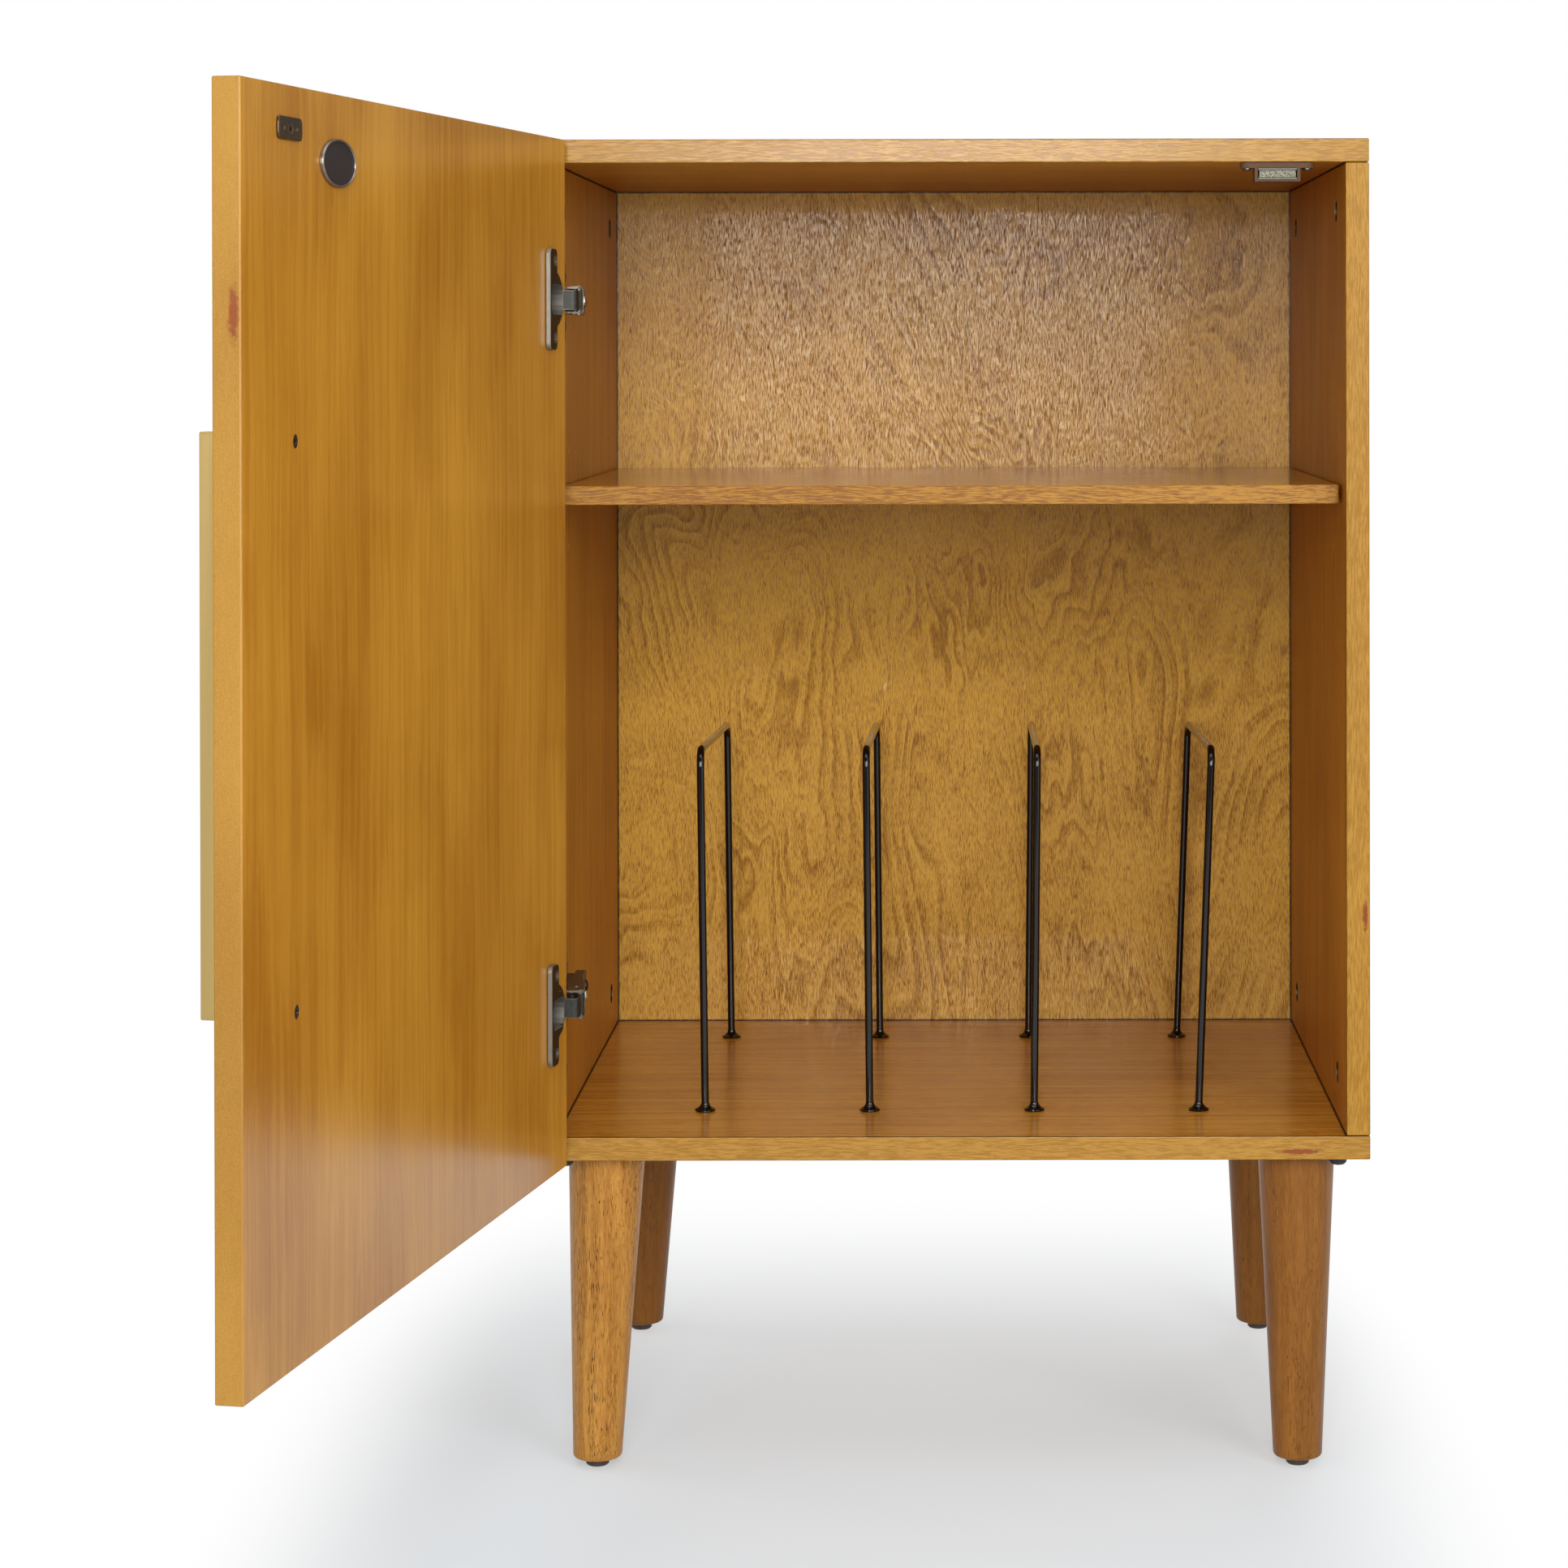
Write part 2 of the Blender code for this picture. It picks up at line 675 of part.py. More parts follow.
def collar_profile():
    """Radius and height of the flared collar at a wire's foot, from the floor up."""
    wide = COLLAR_DIAMETER / 2
    narrow = WIRE_DIAMETER / 2
    profile = [(wide - COLLAR_LIP / 3, 0), (wide, COLLAR_LIP)]
    for step in range(1, FEW_STEPS + 2):
        share = step / (FEW_STEPS + 1)
        flare = (1 - share) ** 2
        rise = COLLAR_LIP + (COLLAR_HEIGHT - COLLAR_LIP) * share
        profile.append((narrow + (wide - narrow) * flare, rise))
    return profile


def divider_route(lean):
    """Points and radii along one wire, from its front peg over to its rear peg."""
    front = WIRE_FROM_FRONT
    rear = CABINET_DEPTH - WIRE_FROM_REAR
    radius = WIRE_DIAMETER / 2
    slope = math.tan(math.radians(lean))
    peg = PEG_DIAMETER / 2
    foot = [(peg - PEG_CHAMFER, -PEG_LENGTH), (peg, PEG_CHAMFER - PEG_LENGTH), (peg, SEAT / 2)]
    foot += [(wide, SEAT + height) for wide, height in collar_profile()]
    start = foot[-1][1]
    corners = [
        (front, start),
        (front, WIRE_FRONT_HEIGHT - radius),
        (rear, WIRE_REAR_HEIGHT - radius),
        (rear, start),
    ]
    over = filleted(corners, WIRE_BEND, ROUND_STEPS)[1:-1]
    route = [((0, front, height), wide) for wide, height in foot]
    route += [((slope * (point.y - start), point.x, point.y), radius) for point in over]
    route += [((0, rear, height), wide) for wide, height in reversed(foot)]
    return route


def build_dividers(parent, black):
    """The bent wires, each one rod with its two collars and pegs."""
    for index, (x, lean) in enumerate(zip(divider_places(), WIRE_LEANS)):
        curve = bpy.data.curves.new("wire_divider", "CURVE")
        curve.dimensions = "3D"
        curve.bevel_depth = 1.0
        curve.bevel_resolution = WIRE_STEPS
        curve.use_fill_caps = True
        route = divider_route(lean)
        spline = curve.splines.new("POLY")
        spline.points.add(len(route) - 1)
        for point, (place, radius) in zip(spline.points, route):
            point.co = (*place, 1)
            point.radius = radius
        curve.materials.append(black)
        item = bpy.data.objects.new("wire_divider_" + str(index + 1), curve)
        bpy.context.collection.objects.link(item)
        item.parent = parent
        item.location = (x, 0, FLOOR)


# Legs

def leg_shape(lean):
    """A turned leg hanging from z = 0, its foot pushed outward and both ends level."""
    top = LEG_TOP_DIAMETER / 2
    foot = LEG_FOOT_DIAMETER / 2
    round_ = LEG_FOOT_ROUND
    profile = [(0, -LEG_LENGTH)]
    profile += [(r, z - LEG_LENGTH) for r, z in arc((foot - round_, round_), round_, -90, 0, FEW_STEPS)]
    profile += [(top, -LEG_TOP_CHAMFER), (top - LEG_TOP_CHAMFER, 0), (0, 0)]
    shape = turned(profile, FINE_SIDES)
    slope = math.tan(math.radians(lean))
    shear = Matrix.Identity(4)
    shear[0][2] = -slope
    bmesh.ops.transform(shape, matrix=shear, verts=shape.verts)
    return shape


def glide_shape():
    """A round foot pad with its nail above it, its sole at z = 0."""
    wide = GLIDE_DIAMETER / 2
    nail = GLIDE_NAIL_DIAMETER / 2
    profile = [(0, 0)] + arc((wide - GLIDE_ROUND, GLIDE_ROUND), GLIDE_ROUND, -90, 0, FEW_STEPS)
    tip = GLIDE_THICKNESS + GLIDE_NAIL_LENGTH
    profile += [(wide, GLIDE_THICKNESS), (nail, GLIDE_THICKNESS), (nail, tip - 2 * nail), (0, tip)]
    return turned(profile, ROUND_SIDES)


def leg_bolt_shape():
    """A plain stud about z = 0 with chamfered ends."""
    radius = LEG_BOLT_DIAMETER / 2
    low = -LEG_BOLT_IN_LEG
    high = LEG_BOLT_IN_BOARD
    chamfer = radius / 4
    profile = [(0, low), (radius - chamfer, low), (radius, low + chamfer)]
    profile += [(radius, high - chamfer), (radius - chamfer, high), (0, high)]
    return turned(profile, SMALL_SIDES)


def build_legs(parent, oak, steel, pad):
    """Four legs, each with a bolt into the bottom board and a glide nailed under it."""
    for end, y in LEG_PLACES.items():
        for side_name, side in SIDES.items():
            corner = end + "_" + side_name
            lean = LEG_LEANS[corner]
            x = side * LEG_FROM_MIDDLE
            foot_x = x + side * math.tan(math.radians(lean)) * LEG_LENGTH
            place = (x, y, UNDERSIDE - SEAT)
            leg = piece("leg_" + corner, leg_shape(side * lean), oak, parent, place)
            bolt_hole = rod(LEG_BOLT_DIAMETER + 2 * HOLE_FIT, -LEG_BOLT_IN_LEG - SEAT, CUT_OVER)
            nail_hole = rod(
                GLIDE_NAIL_DIAMETER + 2 * HOLE_FIT, -CUT_OVER, GLIDE_NAIL_LENGTH + SEAT
            )
            foot_place = (foot_x, y, GLIDE_THICKNESS + SEAT)
            cut(leg, together([moved(bolt_hole, place), moved(nail_hole, foot_place)]))
            piece("leg_bolt_" + corner, leg_bolt_shape(), steel, parent, place)
            piece("glide_" + corner, glide_shape(), pad, parent, (foot_x, y, 0))


def build_bumpers(parent, rubber):
    """A low rubber dome under each front corner."""
    wide = BUMPER_DIAMETER / 2
    centre = (wide - BUMPER_ROUND, BUMPER_ROUND - BUMPER_HEIGHT)
    for name, side in SIDES.items():
        profile = [(0, -BUMPER_HEIGHT)] + arc(centre, BUMPER_ROUND, -90, 0, FEW_STEPS)
        profile += [(wide, 0), (0, 0)]
        place = (side * BUMPER_FROM_MIDDLE, BUMPER_FROM_FRONT, UNDERSIDE - SEAT)
        piece("bumper_" + name, turned(profile, ROUND_SIDES), rubber, parent, place)


# Magnetic catch

def catch_ear_depth():
    """How far behind the cabinet's front the catch's screws stand."""
    return CATCH_FROM_FRONT + CATCH_EAR_WIDTH / 2


def build_catch(parent, plastic, magnet, steel):
    """The catch body with its magnet between two steel pole plates, and its screws."""
    roof = CEILING - SEAT
    ears = rounded_rectangle(
        CATCH_EAR_SPACING + CATCH_EAR_WIDTH, CATCH_EAR_WIDTH, CATCH_EAR_CORNER, FEW_STEPS
    )
    body = piece("catch_body", prism(ears, CATCH_EAR_THICKNESS), plastic, parent,
                 (CATCH_MIDDLE, catch_ear_depth(), roof - CATCH_EAR_THICKNESS))
    half = CATCH_WIDTH / 2
    weld_on(body, box(
        (CATCH_MIDDLE - half, CATCH_FROM_FRONT, roof - CATCH_HEIGHT),
        (CATCH_MIDDLE + half, CATCH_FROM_FRONT + CATCH_DEPTH, roof),
    ))
    inside = half - 2 * CATCH_WALL
    cavity = box(
        (CATCH_MIDDLE - inside, -CUT_OVER, CATCH_CAVITY_FLOOR),
        (CATCH_MIDDLE + inside, CATCH_FROM_FRONT + CATCH_DEPTH - CATCH_WALL,
         CATCH_CAVITY_FLOOR + CATCH_CAVITY),
    )
    cuts = [cavity]
    for name, ear in (("left", -0.5), ("right", 0.5)):
        x = CATCH_MIDDLE + ear * CATCH_EAR_SPACING
        hole = rod(CATCH_SCREW_DIAMETER + 2 * HOLE_FIT, -CATCH_HEIGHT, CUT_OVER)
        cuts.append(moved(hole, (x, catch_ear_depth(), roof)))
        screw = dome_screw(CATCH_SCREW_DIAMETER, CATCH_SCREW_HEAD, CATCH_SCREW_HEAD_HEIGHT,
                           CATCH_SCREW_LENGTH)
        below = roof - CATCH_EAR_THICKNESS - SEAT
        piece("catch_screw_" + name, screw, steel, parent, (x, catch_ear_depth(), below),
              (math.radians(180), 0, 0))
    cut(body, together(cuts))
    length = CATCH_DEPTH - CATCH_WALL - SEAT
    pole_half = inside - SEAT
    lower = CATCH_CAVITY_FLOOR + SEAT
    upper = lower + CATCH_POLE + CATCH_MAGNET + 2 * SEAT
    for name, height in (("lower", lower), ("upper", upper)):
        pole = box((-pole_half, -CATCH_POLE_PROUD, 0), (pole_half, length, CATCH_POLE))
        piece("catch_pole_" + name, pole, steel, parent, (CATCH_MIDDLE, CATCH_FROM_FRONT, height))
    block = box((-CATCH_MAGNET_WIDTH / 2, 0, 0), (CATCH_MAGNET_WIDTH / 2, length, CATCH_MAGNET))
    piece("catch_magnet", block, magnet, parent,
          (CATCH_MIDDLE, CATCH_FROM_FRONT, lower + CATCH_POLE + SEAT))


# Door

def door_place(from_edge, proud, up):
    """A place on the shut door, seen from the door's axis frame."""
    corner = DOOR_CORNER - DOOR_AXIS
    return Vector((corner.x + from_edge, corner.y + proud, corner.z + up))


def door_cutters():
    """Cutters for everything let into the door from its inner face."""
    cutters = []
    for level in HINGE_LEVELS.values():
        bore = rod(CUP_DIAMETER + 2 * HOLE_FIT, -CUP_BORE_DEPTH, CUT_OVER, FINE_SIDES)
        cutters.append(moved(bore, door_place(CUP_FROM_EDGE, 0, level), ALONG_Y))
        for step in (-0.5, 0.5):
            depth = FLANGE_SCREW_LENGTH - FLANGE_THICKNESS
            hole = rod(FLANGE_SCREW_DIAMETER + 2 * HOLE_FIT, -depth, CUT_OVER)
            up = level + step * FLANGE_SCREW_SPACING
            cutters.append(moved(hole, door_place(FLANGE_SCREW_FROM_EDGE, 0, up), ALONG_Y))
    for level in HANDLE_SCREW_LEVELS.values():
        low = -DOOR_BOARD - CUT_OVER
        hole = countersunk_hole(HANDLE_SCREW_DIAMETER, HANDLE_SCREW_HEAD, low, -SEAT)
        cutters.append(moved(hole, door_place(HANDLE_FROM_EDGE, 0, level), ALONG_Y))
    hole = rod(STRIKE_SCREW_DIAMETER + 2 * HOLE_FIT, -STRIKE_SCREW_LENGTH, CUT_OVER)
    cutters.append(moved(hole, door_place(STRIKE_FROM_EDGE, 0, STRIKE_UP), ALONG_Y))
    return cutters


def build_door(axis, veneer):
    """The door board."""
    low = door_place(0, -DOOR_BOARD, 0)
    high = door_place(DOOR_WIDTH, 0, DOOR_HEIGHT)
    item = board("door_panel", low, high, veneer, axis)
    cut(item, together(door_cutters()))


def build_handle(axis, gold, dark):
    """A square bar handle with bent ends, screwed on through the door."""
    half = HANDLE_SCREW_SPACING / 2 + HANDLE_BAR / 2
    reach = HANDLE_PROJECTION - SEAT
    inner = half - HANDLE_BAR
    outer_path = filleted([(0, half), (reach, half), (reach, -half), (0, -half)], HANDLE_BEND)
    inner_bend = HANDLE_BEND / 2
    inner_path = filleted(
        [(0, -inner), (reach - HANDLE_BAR, -inner), (reach - HANDLE_BAR, inner), (0, inner)],
        inner_bend,
    )
    shape = moved(prism(outer_path + inner_path, HANDLE_BAR), (0, 0, -HANDLE_BAR / 2))
    upright = Matrix(((0, 0, 1, 0), (-1, 0, 0, 0), (0, 1, 0, 0), (0, 0, 0, 1)))
    shape = moved(shape, (0, 0, 0), upright)
    bmesh.ops.recalc_face_normals(shape, faces=shape.faces)
    place = door_place(HANDLE_FROM_EDGE, -DOOR_BOARD - SEAT, HANDLE_CENTRE)
    item = piece("door_handle", shape, gold, axis, place)
    edge_round(item, HANDLE_EDGE_ROUND)
    holes = []
    for name, level in HANDLE_SCREW_LEVELS.items():
        depth = DOOR_BOARD + HANDLE_SCREW_IN_HANDLE
        hole = rod(HANDLE_SCREW_DIAMETER + 2 * HOLE_FIT, -depth - SEAT, -DOOR_BOARD)
        holes.append(moved(hole, door_place(HANDLE_FROM_EDGE, 0, level), ALONG_Y))
        screw = flush_screw(HANDLE_SCREW_DIAMETER, HANDLE_SCREW_HEAD, depth - SEAT)
        place = door_place(HANDLE_FROM_EDGE, -SEAT, level)
        turn = (math.radians(-90), 0, 0)
        piece("handle_screw_" + name, screw, dark, axis, place, turn)
    cut(item, together(holes))


def build_strike(axis, bronze, steel):
    """The steel plate that the magnet holds, and its screw."""
    outline = rounded_rectangle(STRIKE_WIDTH, STRIKE_HEIGHT, STRIKE_CORNER)
    shape = moved(prism(outline, STRIKE_THICKNESS), (0, 0, 0), ALONG_Y)
    item = piece("strike_plate", shape, bronze, axis, door_place(STRIKE_FROM_EDGE, SEAT, STRIKE_UP))
    top = door_place(STRIKE_FROM_EDGE, SEAT + STRIKE_THICKNESS, STRIKE_UP)
    hole = countersunk_hole(STRIKE_SCREW_DIAMETER, STRIKE_SCREW_HEAD, -CUT_OVER * 2, 0)
    cut(item, moved(hole, top, ALONG_Y))
    screw = flush_screw(STRIKE_SCREW_DIAMETER, STRIKE_SCREW_HEAD, STRIKE_SCREW_LENGTH)
    piece("strike_screw", screw, steel, axis, top, (math.radians(-90), 0, 0))


def build_badge(axis, chrome):
    """A plain oval badge with a raised rim, stuck to the door's inner face."""
    shape = bmesh.new()
    bmesh.ops.create_circle(shape, cap_ends=True, radius=0.5, segments=FINE_SIDES)
    bmesh.ops.scale(shape, verts=shape.verts, vec=(BADGE_WIDTH, BADGE_HEIGHT, 1))
    face = shape.faces[:][0]
    raised = bmesh.ops.extrude_face_region(shape, geom=[face])
    top = [item for item in raised["geom"] if isinstance(item, bmesh.types.BMVert)]
    bmesh.ops.translate(shape, verts=top, vec=(0, 0, BADGE_THICKNESS))
    lid = [item for item in raised["geom"] if isinstance(item, bmesh.types.BMFace)]
    bmesh.ops.inset_region(shape, faces=lid, thickness=BADGE_RIM, depth=0)
    bmesh.ops.inset_region(shape, faces=lid, thickness=BADGE_FACE_DROP, depth=-BADGE_FACE_DROP)
    bmesh.ops.recalc_face_normals(shape, faces=shape.faces)
    moved(shape, (0, 0, 0), ALONG_Y)
    piece("badge", shape, chrome, axis, door_place(BADGE_FROM_EDGE, SEAT, BADGE_UP))


# Hinges

def flange_outline():
    """Outline of the flange: a rounded bar with a bulge round the cup toward the hinge side."""
    near = FLANGE_NEAR_EDGE
    far = FLANGE_NEAR_EDGE + FLANGE_WIDTH
    half = FLANGE_HEIGHT / 2
    corner = FLANGE_CORNER
    outline = arc((far - corner, half - corner), corner, 0, 90)
    outline += arc((near + corner, half - corner), corner, 90, 180)
    outline += arc((near, 0), FLANGE_BULGE_RADIUS, 90, 270, BULGE_STEPS)
    outline += arc((near + corner, corner - half), corner, 180, 270)
    outline += arc((far - corner, corner - half), corner, 270, 360)
    return outline


def pocket_outline():
    """Outline of the cup's pocket: a circle with two flat sides for the arm to fold into."""
    radius = POCKET_DIAMETER / 2
    reach = math.degrees(math.asin(POCKET_HEIGHT / 2 / radius))
    centre = (CUP_FROM_EDGE, 0)
    far_side = arc(centre, radius, -reach, reach, ROUND_STEPS)
    return far_side + arc(centre, radius, 180 - reach, 180 + reach, ROUND_STEPS)


def build_cup(name, axis, level, nickel, steel):
    """A hinge cup with its flange, and the two screws that hold it."""
    flange = moved(prism(flange_outline(), FLANGE_THICKNESS), (0, 0, 0), ALONG_Y)
    place = door_place(0, SEAT, level)
    item = piece("hinge_cup_" + name, flange, nickel, axis, place)
    edge_round(item, HINGE_EDGE_ROUND, 1)
    rim = CUP_RIM_PROUD
    wide = CUP_DIAMETER / 2
    profile = [(0, -CUP_DEPTH), (wide - CUP_CHAMFER, -CUP_DEPTH)]
    profile += [(wide, CUP_CHAMFER - CUP_DEPTH), (wide, rim), (0, rim)]
    cup = turned(profile, FINE_SIDES)
    weld_on(item, moved(cup, door_place(CUP_FROM_EDGE, 0, level), ALONG_Y))
    depth = CUP_DEPTH - CUP_FLOOR
    pocket = prism(pocket_outline(), depth + FLANGE_THICKNESS + CUT_OVER)
    pocket = moved(pocket, door_place(0, -depth, level), ALONG_Y)
    mouth_low = door_place(0, SEAT / 2, level - POCKET_HEIGHT / 2)
    mouth_high = door_place(CUP_FROM_EDGE, FLANGE_THICKNESS + CUT_OVER, level + POCKET_HEIGHT / 2)
    cut(item, pocket)
    cut(item, box(mouth_low + Vector((0, CUP_RIM_PROUD, 0)), mouth_high))
    top = SEAT + FLANGE_THICKNESS
    holes = []
    for end, step in (("upper", 0.5), ("lower", -0.5)):
        seat = door_place(FLANGE_SCREW_FROM_EDGE, top, level + step * FLANGE_SCREW_SPACING)
        hole = countersunk_hole(FLANGE_SCREW_DIAMETER, FLANGE_SCREW_HEAD, -2 * FLANGE_THICKNESS, 0)
        holes.append(moved(hole, seat, ALONG_Y))
        screw = flush_screw(FLANGE_SCREW_DIAMETER, FLANGE_SCREW_HEAD, FLANGE_SCREW_LENGTH - SEAT)
        piece("hinge_cup_screw_" + name + "_" + end, screw, steel, axis, seat,
              (math.radians(-90), 0, 0))
    cut(item, together(holes))


def arm_outline():
    """Profile of the arm seen from above, x from the side board's face and y from the front."""
    lifted = ARM_FOOT_STAND + ARM_NOSE_LIFT
    return [
        (lifted, ARM_NOSE_CORNER - ARM_NOSE),
        (lifted + ARM_NOSE_CORNER, -ARM_NOSE),
        (ARM_NOSE_STAND - ARM_NOSE_CORNER, -ARM_NOSE),
        (ARM_NOSE_STAND, ARM_NOSE_CORNER - ARM_NOSE),
        (ARM_NOSE_STAND - ARM_NOSE_FALL, 2 * ARM_OPEN_NOSE),
        (ARM_REAR_STAND, ARM_STEP),
        (ARM_REAR_STAND, ARM_REAR),
        (ARM_FOOT_STAND, ARM_REAR),
        (ARM_FOOT_STAND, ARM_FOOT_FRONT),
        (lifted, ARM_OPEN_NOSE),
    ]


def arm_channel_outline():
    """What is cut away between the arm's cheeks: all but the web, and the web at the nose."""
    lift = WEB_GAUGE
    return [
        (-CUT_OVER, -ARM_NOSE - CUT_OVER),
        (ARM_NOSE_STAND + CUT_OVER, -ARM_NOSE - CUT_OVER),
        (ARM_NOSE_STAND + CUT_OVER, ARM_OPEN_NOSE),
        (ARM_NOSE_STAND - ARM_NOSE_FALL - lift, ARM_OPEN_NOSE),
        (ARM_REAR_STAND - lift, ARM_STEP),
        (ARM_REAR_STAND - lift, ARM_REAR + CUT_OVER),
        (-CUT_OVER, ARM_REAR + CUT_OVER),
    ]


def web_stand(y):
    """How far the arm's outer face stands off the side board at this depth."""
    start = 2 * ARM_OPEN_NOSE
    share = min(max((y - start) / (ARM_STEP - start), 0), 1)
    first = ARM_NOSE_STAND - ARM_NOSE_FALL
    return first + (ARM_REAR_STAND - first) * share


def build_arm(name, parent, origin, nickel, steel):
    """The channel-shaped arm with its two pivot pins, and the screws through its web."""
    half = ARM_HEIGHT / 2
    item = piece("hinge_arm_" + name, prism(arm_outline(), ARM_HEIGHT), nickel, parent,
                 origin - Vector((0, 0, half)))
    edge_round(item, HINGE_EDGE_ROUND, 1)
    clear = half - ARM_GAUGE
    channel = prism(arm_channel_outline(), 2 * clear)
    cut(item, moved(channel, origin - Vector((0, 0, clear))))
    head = PIVOT_HEAD_DIAMETER / 2
    pin = PIVOT_DIAMETER / 2
    reach = half + PIVOT_HEAD
    inside = clear + ARM_GAUGE / 2
    pins = []
    for x, y in (OUTER_PIVOT, INNER_PIVOT):
        profile = [(0, -reach), (head, -reach), (head, -inside), (pin, -inside)]
        profile += [(pin, inside), (head, inside), (head, reach), (0, reach)]
        pins.append(moved(turned(profile, SMALL_SIDES), origin + Vector((x, y, 0))))
    weld_on(item, together(pins))
    slope = math.atan2(web_stand(ARM_STEP) - web_stand(2 * ARM_OPEN_NOSE),
                       ARM_STEP - 2 * ARM_OPEN_NOSE)
    screws = (
        ("fixing", FIXING_SCREW_FROM_FRONT, 0.0, FIXING_SCREW_LENGTH),
        ("adjusting", ADJUSTING_SCREW_FROM_FRONT, -slope, ADJUSTING_SCREW_LENGTH),
    )
    holes = []
    for kind, y, tilt, length in screws:
        turn = Matrix.Rotation(tilt, 4, "Z") @ ALONG_X
        hole = rod(FIXING_SCREW_DIAMETER + 2 * HOLE_FIT, -2 * WEB_GAUGE, CUT_OVER)
        face = origin + Vector((web_stand(y), y, 0))
        holes.append(moved(hole, face, turn))
        screw = dome_screw(FIXING_SCREW_DIAMETER, FIXING_SCREW_HEAD, FIXING_SCREW_HEAD_HEIGHT, length)
        outward = Matrix.Rotation(tilt, 4, "Z") @ Vector((SEAT, 0, 0))
        piece("hinge_" + kind + "_screw_" + name, screw, steel, parent, face + outward,
              turn.to_euler())
    cut(item, together(holes))


def link_shape(outline):
    """A link of full height about z = 0 with the pin's bore through its knuckle."""
    return moved(prism(outline, LINK_HEIGHT), (0, 0, -LINK_HEIGHT / 2))


def build_link(name, parent, place, path, nickel):
    """One link that turns on a pin of the arm."""
    pivot = empty("pivot_" + name, parent, place)
    outline = strap_outline(path, LINK_GAUGE, KNUCKLE_DIAMETER / 2)
    item = piece(name, link_shape(outline), nickel, pivot)
    cut(item, rod(PIVOT_DIAMETER + 2 * PIVOT_FIT, -LINK_HEIGHT, LINK_HEIGHT))


def build_plate(name, parent, origin, nickel):
    """The cross-shaped mounting plate with its raised rib and its two screws, one solid."""
    wings = rounded_rectangle(PLATE_WING_WIDTH, PLATE_WING_SPAN, PLATE_CORNER)
    upright = Matrix(((0, 0, 1, 0), (1, 0, 0, 0), (0, 1, 0, 0), (0, 0, 0, 1)))
    base = moved(prism(wings, PLATE_THICKNESS), (0, 0, 0), upright)
    place = origin + Vector((SEAT, PLATE_FROM_FRONT, 0))
    item = piece("hinge_plate_" + name, base, nickel, parent, place)
    rib_half = ARM_HEIGHT / 2 - ARM_GAUGE - 2 * SEAT
    rib_top = ARM_REAR_STAND - WEB_GAUGE - SEAT
    rib_low = (2 * SEAT, RIB_FRONT, -rib_half)
    rib_high = (rib_top, ARM_REAR - RIB_FROM_ARM_END, rib_half)
    weld_on(item, moved(box(rib_low, rib_high), origin))
    screws = []
    for step in (-0.5, 0.5):
        screw = dome_screw(PLATE_SCREW_DIAMETER, PLATE_SCREW_HEAD, PLATE_SCREW_HEAD_HEIGHT,
                           PLATE_SCREW_LENGTH + PLATE_THICKNESS)
        screw = moved(screw, (0, 0, -SEAT), ALONG_X)
        spot = Vector((PLATE_THICKNESS, PLATE_FROM_FRONT, step * PLATE_SCREW_SPACING))
        screws.append(moved(screw, origin + spot))
    weld_on(item, together(screws))
    hole = rod(FIXING_SCREW_DIAMETER + 2 * HOLE_FIT, -FIXING_SCREW_LENGTH, CUT_OVER)
    seat = origin + Vector((rib_top, FIXING_SCREW_FROM_FRONT, 0))
    cut(item, moved(hole, seat, ALONG_X))


def build_hinge(name, level, cabinet, axis, nickel, steel):
    """One concealed hinge: cup on the door, arm and plate on the cabinet, two links between."""
    build_cup(name, axis, level, nickel, steel)
    origin = Vector((-INNER_HALF, 0, DOOR_CORNER.z + level))
    build_plate(name, cabinet, origin, nickel)
    build_arm(name, cabinet, origin, nickel, steel)
    corner = (0, -OUTER_LINK_REACH)
    outer_path = filleted([(0, 0), corner, (-OUTER_LINK_FOOT, -OUTER_LINK_REACH)], OUTER_LINK_BEND)
    outer_place = origin + Vector((*OUTER_PIVOT, 0))
    build_link("hinge_outer_link_" + name, cabinet, outer_place, outer_path, nickel)
    turn = math.radians(INNER_LINK_TURN - 90)
    tip = Vector((math.cos(turn), math.sin(turn))) * INNER_LINK_REACH
    inner_place = origin + Vector((*INNER_PIVOT, 0))
    build_link("hinge_inner_link_" + name, cabinet, inner_place, [Vector((0, 0)), tip], nickel)


def centre_on_floor(cabinet):
    """Put the world origin under the middle of everything, at floor level."""
    bpy.context.view_layer.update()
    scene = bpy.context.evaluated_depsgraph_get()
    xs = []
    ys = []
    for item in bpy.data.objects:
        if item.hide_render or item.type == "EMPTY":
            continue
        solid = item.evaluated_get(scene)
        for corner in solid.to_mesh().vertices:
            point = item.matrix_world @ corner.co
            xs.append(point.x)
            ys.append(point.y)
        solid.to_mesh_clear()
    cabinet.location = (-(min(xs) + max(xs)) / 2, -(min(ys) + max(ys)) / 2, 0)
    bpy.context.view_layer.update()


